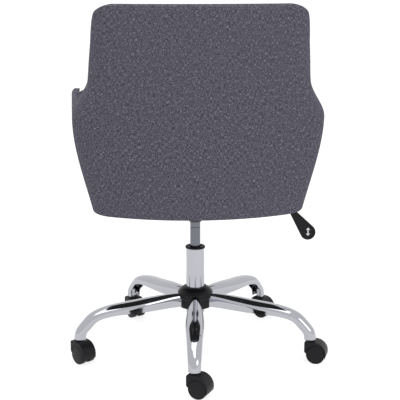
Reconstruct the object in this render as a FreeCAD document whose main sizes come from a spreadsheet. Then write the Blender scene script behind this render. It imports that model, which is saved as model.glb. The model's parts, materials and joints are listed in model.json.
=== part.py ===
"""Swivel office chair: a five-leg chrome base on twin-wheel casters, a gas lift and an upholstered tub seat.

The origin is on the floor under the column's axis.  +Z is up, +Y points to the back of the seat, and the
height lever is on the -X side, at the sitter's right hand.  Sizes are in millimetres, angles in degrees.
"""
import FreeCAD, Part
import math
import os

import Sketcher
from FreeCAD import Placement, Rotation, Vector

os.makedirs("parts", exist_ok=True)
doc = FreeCAD.newDocument("SwivelChair")

# ---------------------------------------------------------------------------------------------
# Driving dimensions
# ---------------------------------------------------------------------------------------------
DIMENSIONS = [
    # star base
    ("leg_count", 5, "legs of the base"),
    ("base_turn", 86.2, "direction of leg 1, from +X towards +Y"),
    ("stem_circle", 325, "radius of the circle of caster stems"),
    ("leg_wall", 2, "sheet thickness of a pressed leg"),
    ("leg_inner_end", 33, "radius where a leg meets the hub tube"),
    ("leg_crown", 162, "height of a leg's top at the hub"),
    ("leg_foot", 64, "height of a leg's lower end"),
    ("hub_tube_outer", 32, "outer radius of the welded hub tube"),
    ("hub_low", 122, "underside of the hub tube"),
    ("hub_high", 168, "top of the hub tube"),
    ("cover_low", 124, "underside of the hub cover"),
    ("cover_high", 179, "top of the hub cover"),
    ("cover_shoulder", 48, "radius of the hub cover's shoulder"),
    ("cover_skirt", 44, "radius of the hub cover's skirt"),
    # column
    ("column_radius", 25, "outer radius of the column tube"),
    ("column_bore", 23.5, "inner radius of the column tube"),
    ("column_low", 104, "underside of the column tube"),
    ("column_high", 290, "top of the column tube"),
    ("floor_plate", 3, "thickness of the column tube's closed end"),
    ("collar_radius", 27, "outer radius of the collar"),
    ("collar_high", 293, "top of the collar"),
    ("bush_low", 205, "underside of the guide bush"),
    ("bumper_high", 123, "top of the rubber bumper"),
    # gas lift
    ("lift_radius", 14, "outer radius of the pressure tube"),
    ("lift_bore", 12.5, "inner radius of the pressure tube"),
    ("lift_low", 190, "underside of the pressure tube, fully raised"),
    ("cone_low", 362, "start of the pressure tube's cone"),
    ("cone_radius", 13, "radius of the cone's top"),
    ("lift_high", 402, "top of the pressure tube"),
    ("groove_height", 347, "height of the groove round the pressure tube"),
    ("rod_radius", 5, "radius of the piston rod"),
    ("head_low", 212, "underside of the piston head"),
    ("pin_radius", 4, "radius of the valve pin"),
    ("pin_high", 409, "top of the valve pin"),
    ("running_gap", 0.05, "radial clearance of a running fit"),
    # swivel plate and lever
    ("plate_wall", 2.5, "sheet thickness of the swivel plate"),
    ("plate_high", 425.6, "top of the swivel plate's flange"),
    ("pan_low", 393, "underside of the swivel plate's pan"),
    ("pan_half_x", 50, "half length of the pan across the chair"),
    ("pan_half_y", 45, "half length of the pan from front to back"),
    ("flange_half_x", 95, "half length of the flange across the chair"),
    ("flange_half_y", 80, "half length of the flange from front to back"),
    ("bolt_x", 78, "half spacing of the plate's bolts across the chair"),
    ("bolt_y", 63, "half spacing of the plate's bolts from front to back"),
    ("bolt_radius", 4, "radius of an M8 bolt"),
    ("lever_height", 412.5, "height of the lever's pivot"),
    ("lever_pivot", 38, "distance of the lever's pivot from the column's axis"),
    ("lever_radius", 4, "radius of the lever's rod"),
    ("paddle_end_x", 307.5, "distance of the paddle's round end from the column's axis"),
    ("paddle_end_z", 325.7, "height of the paddle's round end"),
    ("paddle_neck_x", 264, "distance of the paddle's neck from the column's axis"),
    ("paddle_neck_z", 384, "height of the paddle's neck"),
    # tub seat
    ("shell_low", 424, "lower edge of the shell"),
    ("arm_high", 673, "top of the arms"),
    ("arm_rise", 20, "rise of the arms' top towards the front"),
    ("arm_nose", 32, "drop of the rounded corner at an arm's front"),
    ("back_high", 950, "top of the back"),
    ("top_round", 36, "radius of the back's top corners"),
    ("wing_start", 1.6, "place along the wall where the top edge starts down the wing"),
    ("wing_end", 2.4, "place along the wall where the top edge meets the arm"),
    ("widest_height", 668, "height where the shell is widest"),
    ("narrow_height", 768, "height above which the back keeps its width"),
    ("half_low", 269, "half width at the rear corner, lower edge"),
    ("half_widest", 317, "half width at the rear corner, widest"),
    ("half_narrow", 276, "half width at the rear corner, above the wings"),
    ("half_high", 270, "half width at the rear corner, top of the back"),
    ("back_low_y", 245, "back's middle, lower edge"),
    ("back_high_y", 318, "back's middle, top edge"),
    ("bow_low", 520, "radius of the back's bow, lower edge"),
    ("bow_high", 900, "radius of the back's bow, top edge"),
    ("corner_radius", 74, "radius of the rear corners"),
    ("side_start", 100, "distance behind the axis where half widths are measured"),
    ("arm_flare", 3.4, "angle by which the arms open towards the front"),
    ("arm_front", 300, "distance of the arms' front from the axis"),
    ("cover_skin", 4, "thickness of the outer cover"),
    ("frame_wall", 10, "thickness of the moulded frame"),
    ("back_depth", 60, "thickness of the whole back and arms"),
    ("pad_joint", 95, "distance behind the axis where the back pad meets the arm pads"),
    ("soft_gap", 1.0, "gap between a soft piece and its neighbour"),
    ("board_low", 426, "underside of the seat board"),
    ("board_thick", 14, "thickness of the seat board"),
    ("cushion_high", 525, "top of the seat cushion"),
    ("cushion_front", 335, "distance of the cushion's front from the axis"),
    # casters
    ("wheel_radius", 25, "radius of a caster wheel"),
    ("wheel_inner", 5.6, "distance of a wheel's inner face from the caster's middle"),
    ("wheel_outer", 21.5, "distance of a wheel's outer rim from the caster's middle"),
    ("trail", 16, "distance from a caster's stem to its axle"),
    ("axle_radius", 3, "radius of a caster's axle"),
    ("axle_half", 18, "half length of a caster's axle"),
    ("web_half", 5.1, "half thickness of the hood's middle web"),
    ("hood_half", 20.7, "half width of the hood"),
    ("hood_high", 60, "top of the hood"),
    ("stem_radius", 5.5, "radius of a caster's stem in the leg"),
    ("stem_low", 40, "lower end of a caster's stem"),
    ("swivel_radius", 3.5, "radius of a caster's stem in the hood"),
    ("socket_high", 84, "top of a caster socket"),
    ("heading_1", 150, "direction in which caster 1 trails, from +X towards +Y"),
    ("heading_2", 160, "direction in which caster 2 trails"),
    ("heading_3", 140, "direction in which caster 3 trails"),
    ("heading_4", 120, "direction in which caster 4 trails"),
    ("heading_5", 130, "direction in which caster 5 trails"),
]

sheet = doc.addObject("Spreadsheet::Sheet", "Dims")
for row, (alias, value, meaning) in enumerate(DIMENSIONS, start=1):
    sheet.set(f"A{row}", meaning)
    sheet.set(f"B{row}", str(value))
    sheet.setAlias(f"B{row}", alias)
doc.recompute()

pieces = []


# ---------------------------------------------------------------------------------------------
# Helpers
# ---------------------------------------------------------------------------------------------
def dim(alias):
    """Value of one driving dimension."""
    return float(sheet.get(alias))


def number(formula):
    """Value of a formula of the sheet's aliases."""
    return float(sheet.evalExpression(formula))


def keep(item, label):
    """Name a finished sub-part and put it on the list to write."""
    item.Label = label
    pieces.append(item)
    return item


def plane_of(body, role):
    """Origin plane of a body, by its role."""
    return next(item for item in body.Origin.OriginFeatures if item.Role == role)


def outline(sketch, corners):
    """Closed outline of straight edges, with each corner held by a pair of sheet formulas."""
    points = [Vector(number(across), number(up), 0) for across, up in corners]
    for index, point in enumerate(points):
        sketch.addGeometry(Part.LineSegment(point, points[(index + 1) % len(points)]), False)
    for index in range(len(points)):
        following = (index + 1) % len(points)
        sketch.addConstraint(Sketcher.Constraint("Coincident", index, 2, following, 1))
    for index, (corner, point) in enumerate(zip(corners, points)):
        for direction, axis, formula, value in (("DistanceX", -2, corner[0], point.x),
                                                ("DistanceY", -1, corner[1], point.y)):
            if abs(value) < 1e-9:
                sketch.addConstraint(Sketcher.Constraint("PointOnObject", index, 1, axis))
                continue
            held = sketch.addConstraint(Sketcher.Constraint(direction, -1, 1, index, 1, value))
            sketch.setExpression(f"Constraints[{held}]", formula)


def new_sketch(body, name, role, corners):
    """Sketch of one closed outline on an origin plane of its own body."""
    sketch = body.newObject("Sketcher::SketchObject", name)
    sketch.AttachmentSupport = [(plane_of(body, role), "")]
    sketch.MapMode = "FlatFace"
    outline(sketch, corners)
    return sketch


def turned(name, corners, rounds=()):
    """Body of revolution about Z from (radius, height) formulas; rounds are (radius, height, fillet)."""
    body = doc.addObject("PartDesign::Body", name)
    section = new_sketch(body, name + "_section", "XZ_Plane", corners)
    turn = body.newObject("PartDesign::Revolution", name + "_turn")
    turn.Profile = section
    turn.ReferenceAxis = (section, ["V_Axis"])
    turn.Angle = 360
    doc.recompute()
    last = turn
    for step, (radius, height, fillet) in enumerate(rounds):
        edges = round_edges(last.Shape, number(radius), number(height))
        rounding = body.newObject("PartDesign::Fillet", f"{name}_round_{step}")
        rounding.Base = (last, edges)
        rounding.setExpression("Radius", fillet)
        doc.recompute()
        last = rounding
    return body


def round_edges(shape, radius, height):
    """Names of a shape's circular edges about Z with the given radius and height."""
    names = []
    for index, edge in enumerate(shape.Edges, start=1):
        curve = edge.Curve
        if not isinstance(curve, Part.Circle):
            continue
        if abs(curve.Radius - radius) < 0.02 and abs(curve.Center.z - height) < 0.02:
            names.append(f"Edge{index}")
    return names


def bound(kind, name, corner=(), **formulas):
    """Part primitive whose sizes, and corner if one is given, are bound to the sheet."""
    item = doc.addObject(kind, name)
    for size, formula in formulas.items():
        item.setExpression(size, formula)
    for axis, formula in zip("xyz", corner):
        item.setExpression(f"Placement.Base.{axis}", formula)
    return item


def block(name, low, high):
    """Box between two corners given as sheet formulas."""
    sizes = [f"({top}) - ({bottom})" for bottom, top in zip(low, high)]
    return bound("Part::Box", name, low, Length=sizes[0], Width=sizes[1], Height=sizes[2])


def rod(name, corner, radius, height):
    """Cylinder, upright on the given corner until it is turned."""
    return bound("Part::Cylinder", name, corner, Radius=radius, Height=height)


def joined(name, members):
    """Union of several objects."""
    union = doc.addObject("Part::MultiFuse", name)
    union.Shapes = members
    return union


def cut(name, base, tool):
    """First object less the second."""
    result = doc.addObject("Part::Cut", name)
    result.Base = base
    result.Tool = tool
    return result


def group(name, shapes):
    """Feature that holds one or more plain solids."""
    feature = doc.addObject("Part::Feature", name)
    feature.Shape = shapes[0] if len(shapes) == 1 else Part.makeCompound(shapes)
    return feature


def polar(radius, angle, height=0.0):
    """Point at a radius and an angle about the column's axis."""
    return Vector(radius * math.cos(math.radians(angle)), radius * math.sin(math.radians(angle)), height)


def leg_angle(index):
    """Direction of a leg."""
    return dim("base_turn") + 360.0 / dim("leg_count") * index


# ---------------------------------------------------------------------------------------------
# Star base
# ---------------------------------------------------------------------------------------------
def leg_section(radius, crown, tilt, width, depth, gap=0.0, solid=False):
    """Channel section of a leg: rounded crown, open below, on a plane tilted about the crown.

    gap widens the outside.  A solid section has no inside and serves as the cutter for the hub cover.
    """
    wall = dim("leg_wall")
    half = width / 2 + gap
    bend = min(12.0, half - 2)
    top = gap
    foot = -depth
    bevel = bend * (1 - math.sqrt(0.5))
    inner = half - wall
    lining = bend - wall
    lining_bevel = lining * (1 - math.sqrt(0.5))

    def at(across, down):
        angle = math.radians(tilt)
        return Vector(radius + down * math.sin(angle), across, crown + down * math.cos(angle))

    edges = [
        Part.LineSegment(at(-half, foot), at(-half, top - bend)),
        Part.Arc(at(-half, top - bend), at(-half + bevel, top - bevel), at(-half + bend, top)),
        Part.LineSegment(at(-half + bend, top), at(half - bend, top)),
        Part.Arc(at(half - bend, top), at(half - bevel, top - bevel), at(half, top - bend)),
        Part.LineSegment(at(half, top - bend), at(half, foot)),
    ]
    if solid:
        edges.append(Part.LineSegment(at(half, foot), at(-half, foot)))
        return Part.Wire([edge.toShape() for edge in edges])
    edges += [
        Part.LineSegment(at(half, foot), at(inner, foot)),
        Part.LineSegment(at(inner, foot), at(inner, -bend)),
        Part.Arc(at(inner, -bend), at(inner - lining_bevel, -wall - lining_bevel),
                 at(half - bend, -wall)),
        Part.LineSegment(at(half - bend, -wall), at(-half + bend, -wall)),
        Part.Arc(at(-half + bend, -wall), at(-inner + lining_bevel, -wall - lining_bevel),
                 at(-inner, -bend)),
        Part.LineSegment(at(-inner, -bend), at(-inner, foot)),
        Part.LineSegment(at(-inner, foot), at(-half, foot)),
    ]
    return Part.Wire([edge.toShape() for edge in edges])


def leg_shape(gap=0.0, solid=False):
    """Pressed leg along +X: level at the hub, dipping slightly, then turning down to its caster."""
    crown = dim("leg_crown")
    end = dim("stem_circle") + 14
    foot = dim("leg_foot")
    stations = [
        # radius, crown height, tilt, width, depth
        (dim("leg_inner_end"), crown, 0, 28, 36),
        (62, crown + 0.5, 0, 31, 35.5),
        (100, crown - 1, 1, 38.5, 34),
        (135, crown - 4, 3, 45, 32),
        (172, crown - 8, 5, 48, 29),
        (227, crown - 13, 8, 47, 25),
        (262, crown - 19.5, 18, 43, 23.5),
        (end - 43, crown - 34, 38, 39, 23),
        (end - 20, crown - 56, 60, 36, 25),
        (end - 4, foot + 20, 82, 33.5, 27),
        (end, foot, 90, 33, 28),
    ]
    return Part.makeLoft([leg_section(*station, gap, solid) for station in stations], True)


def build_base():
    """Legs, hub, caster sockets and the column's fixed parts."""
    leg = leg_shape()
    for index in range(int(dim("leg_count"))):
        feature = group(f"leg_{index + 1}", [leg])
        feature.Placement = Placement(Vector(0, 0, 0), Rotation(Vector(0, 0, 1), leg_angle(index)))
        keep(feature, f"leg_{index + 1}")

    keep(turned("hub_tube", [
        ("Dims.column_radius + Dims.running_gap", "Dims.hub_low"),
        ("Dims.hub_tube_outer", "Dims.hub_low"),
        ("Dims.hub_tube_outer", "Dims.hub_high"),
        ("Dims.column_radius + Dims.running_gap", "Dims.hub_high"),
    ]), "hub_tube")

    cover = turned("hub_cover_turned", [
        ("Dims.column_radius + 0.4", "Dims.cover_high"),
        ("Dims.column_radius + 6", "Dims.cover_high"),
        ("Dims.cover_shoulder - 7", "Dims.cover_high - 7"),
        ("Dims.cover_shoulder", "Dims.cover_high - 16"),
        ("Dims.cover_shoulder", "Dims.cover_high - 27"),
        ("Dims.cover_skirt", "Dims.cover_high - 31"),
        ("Dims.cover_skirt", "Dims.cover_low"),
        ("Dims.hub_tube_outer + 0.3", "Dims.cover_low"),
        ("Dims.hub_tube_outer + 0.3", "Dims.hub_high + 0.5"),
        ("Dims.column_radius + 0.4", "Dims.hub_high + 0.5"),
    ], [
        ("Dims.column_radius + 6", "Dims.cover_high", "4"),
        ("Dims.cover_shoulder - 7", "Dims.cover_high - 7", "6"),
        ("Dims.cover_shoulder", "Dims.cover_high - 16", "5"),
        ("Dims.cover_shoulder", "Dims.cover_high - 27", "3"),
    ])
    slots = []
    for index in range(int(dim("leg_count"))):
        slot = leg_shape(0.6, True)
        slot.rotate(Vector(0, 0, 0), Vector(0, 0, 1), leg_angle(index))
        slots.append(slot)
    keep(cut("hub_cover_cut", cover, group("hub_cover_slots", slots)), "hub_cover")

    sockets = []
    stems = []
    for index in range(int(dim("leg_count"))):
        centre = polar(dim("stem_circle"), leg_angle(index))
        bore = dim("stem_radius") + dim("running_gap")
        height = dim("socket_high") - dim("leg_foot")
        low = centre + Vector(0, 0, dim("leg_foot"))
        socket = Part.makeCylinder(bore + 2.5, height, low).cut(Part.makeCylinder(bore, height, low))
        sockets.append(socket)
        collar_low = dim("hood_high") + 0.5
        stem = Part.makeCylinder(dim("swivel_radius"), collar_low - dim("stem_low"),
                                 centre + Vector(0, 0, dim("stem_low")))
        stem = stem.fuse(Part.makeCylinder(8, 2.5, centre + Vector(0, 0, collar_low)))
        stem = stem.fuse(Part.makeCylinder(dim("stem_radius"), dim("socket_high") - collar_low - 1,
                                           centre + Vector(0, 0, collar_low)))
        stems.append(stem.removeSplitter())
    keep(group("caster_sockets", sockets), "caster_sockets")
    keep(group("caster_stems", stems), "caster_stems")

    keep(turned("outer_tube", [
        ("Dims.column_bore", "Dims.column_high"),
        ("Dims.column_radius", "Dims.column_high"),
        ("Dims.column_radius", "Dims.column_low"),
        ("Dims.rod_radius + Dims.running_gap", "Dims.column_low"),
        ("Dims.rod_radius + Dims.running_gap", "Dims.column_low + Dims.floor_plate"),
        ("Dims.column_bore", "Dims.column_low + Dims.floor_plate"),
    ]), "outer_tube")

    keep(turned("tube_collar", [
        ("Dims.lift_radius + 0.5", "Dims.collar_high - 2"),
        ("Dims.lift_radius + 2", "Dims.collar_high - 2"),
        ("Dims.lift_radius + 5", "Dims.collar_high"),
        ("Dims.collar_radius", "Dims.collar_high"),
        ("Dims.collar_radius", "Dims.column_high - 2"),
        ("Dims.column_radius + 0.05", "Dims.column_high - 2"),
        ("Dims.column_radius + 0.05", "Dims.column_high + 0.05"),
        ("Dims.lift_radius + 0.5", "Dims.column_high + 0.05"),
    ], [("Dims.collar_radius", "Dims.collar_high", "2")]), "tube_collar")

    keep(turned("guide_bush", [
        ("Dims.lift_radius + Dims.running_gap", "Dims.bush_low"),
        ("Dims.column_bore - 0.05", "Dims.bush_low"),
        ("Dims.column_bore - 0.05", "Dims.column_high"),
        ("Dims.lift_radius + Dims.running_gap", "Dims.column_high"),
    ]), "guide_bush")

    keep(turned("rubber_bumper", [
        ("Dims.rod_radius + 3", "Dims.column_low + Dims.floor_plate + 8.1"),
        ("Dims.rod_radius + 9", "Dims.column_low + Dims.floor_plate + 8.1"),
        ("Dims.rod_radius + 7", "Dims.bumper_high"),
        ("Dims.rod_radius + 3", "Dims.bumper_high"),
    ]), "rubber_bumper")

    floor_top = dim("column_low") + dim("floor_plate")
    washers = []
    for height in (floor_top, floor_top + 6):
        disc = Part.makeCylinder(14, 2, Vector(0, 0, height))
        washers.append(disc.cut(Part.makeCylinder(5.5, 2, Vector(0, 0, height))))
    ball_count = 8
    balls = [Part.makeSphere(2, polar(10, 360 / ball_count * index, floor_top + 4))
             for index in range(ball_count)]
    keep(group("thrust_bearing", washers + balls), "thrust_bearing")


# ---------------------------------------------------------------------------------------------
# Gas lift
# ---------------------------------------------------------------------------------------------
def build_gas_lift():
    """Rod and piston, which turn on the thrust bearing, and the pressure tube, which slides on them."""
    keep(turned("piston_rod", [
        ("0", "Dims.column_low - 4"),
        ("Dims.rod_radius", "Dims.column_low - 4"),
        ("Dims.rod_radius", "Dims.head_low + 10"),
        ("0", "Dims.head_low + 10"),
    ]), "piston_rod")
    keep(turned("rod_clip", [
        ("Dims.rod_radius + 0.01", "Dims.column_low - 1.8"),
        ("Dims.rod_radius + 5", "Dims.column_low - 1.8"),
        ("Dims.rod_radius + 5", "Dims.column_low - 0.3"),
        ("Dims.rod_radius + 0.01", "Dims.column_low - 0.3"),
    ]), "rod_clip")
    keep(turned("piston_head", [
        ("Dims.rod_radius + 0.01", "Dims.head_low"),
        ("Dims.lift_bore - Dims.running_gap", "Dims.head_low"),
        ("Dims.lift_bore - Dims.running_gap", "Dims.head_low + 9"),
        ("Dims.rod_radius + 0.01", "Dims.head_low + 9"),
    ]), "piston_head")

    keep(turned("pressure_tube", [
        ("Dims.lift_bore", "Dims.lift_low"),
        ("Dims.lift_radius", "Dims.lift_low"),
        ("Dims.lift_radius", "Dims.groove_height - 1.5"),
        ("Dims.lift_radius - 0.7", "Dims.groove_height - 1"),
        ("Dims.lift_radius - 0.7", "Dims.groove_height + 1"),
        ("Dims.lift_radius", "Dims.groove_height + 1.5"),
        ("Dims.lift_radius", "Dims.cone_low"),
        ("Dims.cone_radius", "Dims.lift_high"),
        ("Dims.pin_radius + Dims.running_gap", "Dims.lift_high"),
        ("Dims.pin_radius + Dims.running_gap", "Dims.lift_high - 5"),
        ("Dims.cone_radius - 2.5", "Dims.lift_high - 5"),
        ("Dims.cone_radius - 2.5", "Dims.lift_high - 18"),
        ("Dims.lift_bore", "Dims.lift_high - 22"),
    ]), "pressure_tube")
    keep(turned("rod_gland", [
        ("Dims.rod_radius + Dims.running_gap", "Dims.lift_low + 1"),
        ("Dims.lift_bore - 0.05", "Dims.lift_low + 1"),
        ("Dims.lift_bore - 0.05", "Dims.lift_low + 15"),
        ("Dims.rod_radius + Dims.running_gap", "Dims.lift_low + 15"),
    ]), "rod_gland")
    keep(turned("valve_body", [
        ("0", "Dims.lift_high - 34"),
        ("Dims.lift_bore - 2.1", "Dims.lift_high - 34"),
        ("Dims.lift_bore - 2.1", "Dims.lift_high - 5.1"),
        ("Dims.pin_radius + Dims.running_gap", "Dims.lift_high - 5.1"),
        ("Dims.pin_radius + Dims.running_gap", "Dims.lift_high - 28"),
        ("0", "Dims.lift_high - 28"),
    ]), "valve_body")
    keep(turned("valve_pin", [
        ("0", "Dims.lift_high - 22"),
        ("Dims.pin_radius", "Dims.lift_high - 22"),
        ("Dims.pin_radius", "Dims.pin_high"),
        ("0", "Dims.pin_high"),
    ]), "valve_pin")


# ---------------------------------------------------------------------------------------------
# Swivel plate and height lever
# ---------------------------------------------------------------------------------------------
def corner_points(half_x, half_y):
    """Four corners of a rectangle about the column's axis."""
    return [(half_x, half_y), (-half_x, half_y), (-half_x, -half_y), (half_x, -half_y)]


def build_mechanism():
    """Pressed plate under the seat with its taper socket, and the lever that works the valve pin."""
    keep(turned("taper_socket", [
        ("Dims.lift_radius + 0.02", "Dims.cone_low"),
        ("Dims.lift_radius + 3", "Dims.cone_low"),
        ("Dims.lift_radius + 5", "Dims.pan_low - 4"),
        ("Dims.lift_radius + 5", "Dims.lift_high - 2"),
        ("Dims.cone_radius + 0.07", "Dims.lift_high - 2"),
    ]), "taper_socket")

    flange = block("plate_flange",
                   ("-Dims.flange_half_x", "-Dims.flange_half_y", "Dims.plate_high - Dims.plate_wall"),
                   ("Dims.flange_half_x", "Dims.flange_half_y", "Dims.plate_high"))
    pan = block("plate_pan", ("-Dims.pan_half_x", "-Dims.pan_half_y", "Dims.pan_low"),
                ("Dims.pan_half_x", "Dims.pan_half_y", "Dims.plate_high"))
    hollow = block("plate_hollow",
                   ("Dims.plate_wall - Dims.pan_half_x", "Dims.plate_wall - Dims.pan_half_y",
                    "Dims.pan_low + Dims.plate_wall"),
                   ("Dims.pan_half_x - Dims.plate_wall", "Dims.pan_half_y - Dims.plate_wall",
                    "Dims.plate_high + 1"))
    socket_hole = rod("plate_socket_hole", ("0", "0", "Dims.pan_low - 1"), "Dims.lift_radius + 5.05", "5")
    lever_hole = rod("plate_lever_hole", (), "Dims.lever_radius + 1.8", "10")
    lever_hole.Placement = Placement(Vector(-dim("pan_half_x") - 4, 0, dim("lever_height")),
                                     Rotation(Vector(0, 1, 0), 90))
    bolt_holes = [rod(f"plate_bolt_hole_{index}", (f"{x}", f"{y}", "Dims.plate_high - 5"),
                      "Dims.bolt_radius + 0.3", "8")
                  for index, (x, y) in enumerate(corner_points(dim("bolt_x"), dim("bolt_y")))]
    keep(cut("seat_plate_cut", joined("plate_body", [flange, pan]),
             joined("plate_holes", [hollow, socket_hole, lever_hole] + bolt_holes)), "seat_plate")

    pivot = Vector(-dim("lever_pivot"), 0, dim("lever_height"))
    ear_low = dim("pan_low") + dim("plate_wall")
    ear_inner = dim("lever_radius") + 1
    ears = []
    for side in (-1, 1):
        corner = Vector(pivot.x - 6, side * (ear_inner + 1.25) - 1.25, ear_low)
        ears.append(Part.makeBox(12, 2.5, pivot.z - ear_low + 6, corner))
    bore = Part.makeCylinder(2.55, 40, pivot + Vector(0, -20, 0), Vector(0, 1, 0))
    keep(group("lever_bracket", [ear.cut(bore) for ear in ears]), "lever_bracket")
    pin = Part.makeCylinder(2.5, 22, pivot + Vector(0, -11, 0), Vector(0, 1, 0))
    keep(group("lever_pin", [pin]), "lever_pin")

    radius = dim("lever_radius")
    neck = Vector(-dim("paddle_neck_x"), 0, dim("paddle_neck_z"))
    bends = [pivot + Vector(8, 0, 0), Vector(-dim("pan_half_x") - 48, 0, dim("lever_height")), neck]
    rod_wire = bent_wire(bends, 30)
    section = Part.Wire(Part.makeCircle(radius, bends[0], Vector(-1, 0, 0)))
    lever = rod_wire.makePipeShell([section], True, True)
    tip = Part.makeBox(dim("lever_pivot") - 1, 9, 5, Vector(pivot.x + 7, -4.5, dim("pin_high") + 0.5))
    boss = Part.makeCylinder(6, 2 * ear_inner - 0.6, pivot + Vector(0, 0.3 - ear_inner, 0), Vector(0, 1, 0))
    lever = lever.fuse([tip, boss]).removeSplitter()
    bore = Part.makeCylinder(2.5 + dim("running_gap"), 40, pivot + Vector(0, -20, 0), Vector(0, 1, 0))
    keep(group("lever_rod", [lever.cut(bore)]), "lever_rod")
    keep(group("lever_paddle", [paddle_shape(neck, bends[1])]), "lever_paddle")

    bolts = []
    nuts = []
    board_top = dim("board_low") + dim("board_thick")
    for x, y in corner_points(dim("bolt_x"), dim("bolt_y")):
        under = dim("plate_high") - dim("plate_wall")
        head = Part.Face(hexagon(6.5, Vector(x, y, under - 5.3))).extrude(Vector(0, 0, 5.2))
        shank = Part.makeCylinder(dim("bolt_radius"), 17, Vector(x, y, under - 0.1))
        bolts.append(head.fuse(shank).removeSplitter())
        barrel = Part.makeCylinder(5, dim("board_thick") - 2, Vector(x, y, dim("board_low") + 2))
        prong_plate = Part.makeCylinder(9, 1.2, Vector(x, y, board_top))
        thread_bore = Part.makeCylinder(dim("bolt_radius") + 0.02, 60, Vector(x, y, dim("board_low") - 5))
        nuts.append(barrel.fuse(prong_plate).cut(thread_bore).removeSplitter())
    keep(group("plate_bolts", bolts), "plate_bolts")
    keep(group("tee_nuts", nuts), "tee_nuts")


def hexagon(half_flats, centre):
    """Hexagonal wire with the given half width across flats."""
    reach = half_flats / math.cos(math.radians(30))
    points = [centre + polar(reach, 60 * index) for index in range(7)]
    return Part.makePolygon(points)


def bent_wire(points, bend):
    """Straight runs through the points, joined by tangent arcs of the given radius."""
    edges = []
    start = points[0]
    for before, corner, after in zip(points, points[1:], points[2:]):
        back = (before - corner).normalize()
        ahead = (after - corner).normalize()
        half_turn = (math.pi - back.getAngle(ahead)) / 2
        reach = bend * math.tan(half_turn)
        middle = (back + ahead).normalize() * (bend / math.cos(half_turn) - bend)
        edges.append(Part.LineSegment(start, corner + back * reach).toShape())
        edges.append(Part.Arc(corner + back * reach, corner + middle, corner + ahead * reach).toShape())
        start = corner + ahead * reach
    edges.append(Part.LineSegment(start, points[-1]).toShape())
    return Part.Wire(edges)


def paddle_shape(neck, rod_bend):
    """Flat teardrop handle, broad face towards the back, bored for the lever's rod."""
    end = Vector(-dim("paddle_end_x"), 0, dim("paddle_end_z"))
    along = (end - neck).normalize()
    across = Vector(along.z, 0, -along.x)
    neck_half = 8
    end_radius = 21
    half_thick = 6.0
    length = (end - neck).Length
    lean = math.asin((end_radius - neck_half) / length)

    def touch(centre, radius, side):
        direction = across * (side * math.cos(lean)) + along * (-math.sin(lean))
        return centre + direction * radius

    tip = end + along * end_radius
    heel = neck - along * neck_half
    face = Part.Face(Part.Wire([
        Part.LineSegment(touch(neck, neck_half, 1), touch(end, end_radius, 1)).toShape(),
        Part.Arc(touch(end, end_radius, 1), tip, touch(end, end_radius, -1)).toShape(),
        Part.LineSegment(touch(end, end_radius, -1), touch(neck, neck_half, -1)).toShape(),
        Part.Arc(touch(neck, neck_half, -1), heel, touch(neck, neck_half, 1)).toShape(),
    ]))
    face.translate(Vector(0, -half_thick, 0))
    solid = face.extrude(Vector(0, 2 * half_thick, 0))
    solid = solid.makeFillet(3.0, solid.Edges)
    run = (neck - rod_bend).normalize()
    bore = Part.makeCylinder(dim("lever_radius") + 0.02, 60, neck - run * 60, run)
    return solid.cut(bore)


# ---------------------------------------------------------------------------------------------
# Tub seat
# ---------------------------------------------------------------------------------------------
def ease(part):
    """Smooth step from 0 to 1."""
    part = min(1.0, max(0.0, part))
    return part * part * (3 - 2 * part)


def shell_fraction(height):
    """0 at the shell's lower edge, 1 at the top of the back."""
    return (height - dim("shell_low")) / (dim("back_high") - dim("shell_low"))


def half_width(height):
    """Half width of the shell's outside at its rear corner, at a height."""
    low, widest, narrow = dim("half_low"), dim("half_widest"), dim("half_narrow")
    if height <= dim("widest_height"):
        span = dim("widest_height") - dim("shell_low")
        part = max(0.0, (height - dim("shell_low")) / span)
        rise = 0.23 * span
        start = (1 + 2 * part) * (1 - part) ** 2
        return start * low + part * (1 - part) ** 2 * rise + (1 - start) * widest
    part = (height - dim("widest_height")) / (dim("narrow_height") - dim("widest_height"))
    upper = (height - dim("narrow_height")) / (dim("back_high") - dim("narrow_height"))
    taper = min(1.0, max(0.0, 2 * upper))
    return widest + (narrow - widest) * ease(part) + (dim("half_high") - narrow) * taper


def back_line(height):
    """Distance of the back's middle behind the axis, at a height."""
    return dim("back_low_y") + (dim("back_high_y") - dim("back_low_y")) * shell_fraction(height)


def plan_point(along, height, depth):
    """Point of the shell's wall at a height, a depth inwards from its outside.

    along is 0 at the back's middle, 1 where the bow meets the corner, 2 where the corner meets the arm
    and 3 at the arm's front; it is negative on the -X side.
    """
    side = -1 if along < 0 else 1
    along = abs(along)
    bow = dim("bow_low") + (dim("bow_high") - dim("bow_low")) * shell_fraction(height)
    corner = dim("corner_radius")
    flare = math.radians(dim("arm_flare"))
    inward = Vector(-math.cos(flare), -math.sin(flare), 0)
    rearward = Vector(-math.sin(flare), math.cos(flare), 0)
    bow_centre = Vector(0, back_line(height) - bow, 0)
    base = Vector(half_width(height), dim("side_start"), 0) + inward * corner
    offset = base - bow_centre
    half_b = offset.dot(rearward)
    slack = half_b * half_b - (offset.dot(offset) - (bow - corner) ** 2)
    corner_centre = base + rearward * (math.sqrt(slack) - half_b)
    meeting = math.atan2(corner_centre.x - bow_centre.x, corner_centre.y - bow_centre.y)
    if along <= 1:
        angle = meeting * along
        point = bow_centre + Vector(math.sin(angle), math.cos(angle), 0) * (bow - depth)
    elif along <= 2:
        angle = meeting + (math.pi / 2 - flare - meeting) * (along - 1)
        point = corner_centre + Vector(math.sin(angle), math.cos(angle), 0) * (corner - depth)
    else:
        start = corner_centre - inward * (corner - depth)
        run = (start.y + dim("arm_front")) / math.cos(flare)
        point = start - rearward * (run * (along - 2))
    return Vector(side * point.x, point.y, height)


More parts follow.
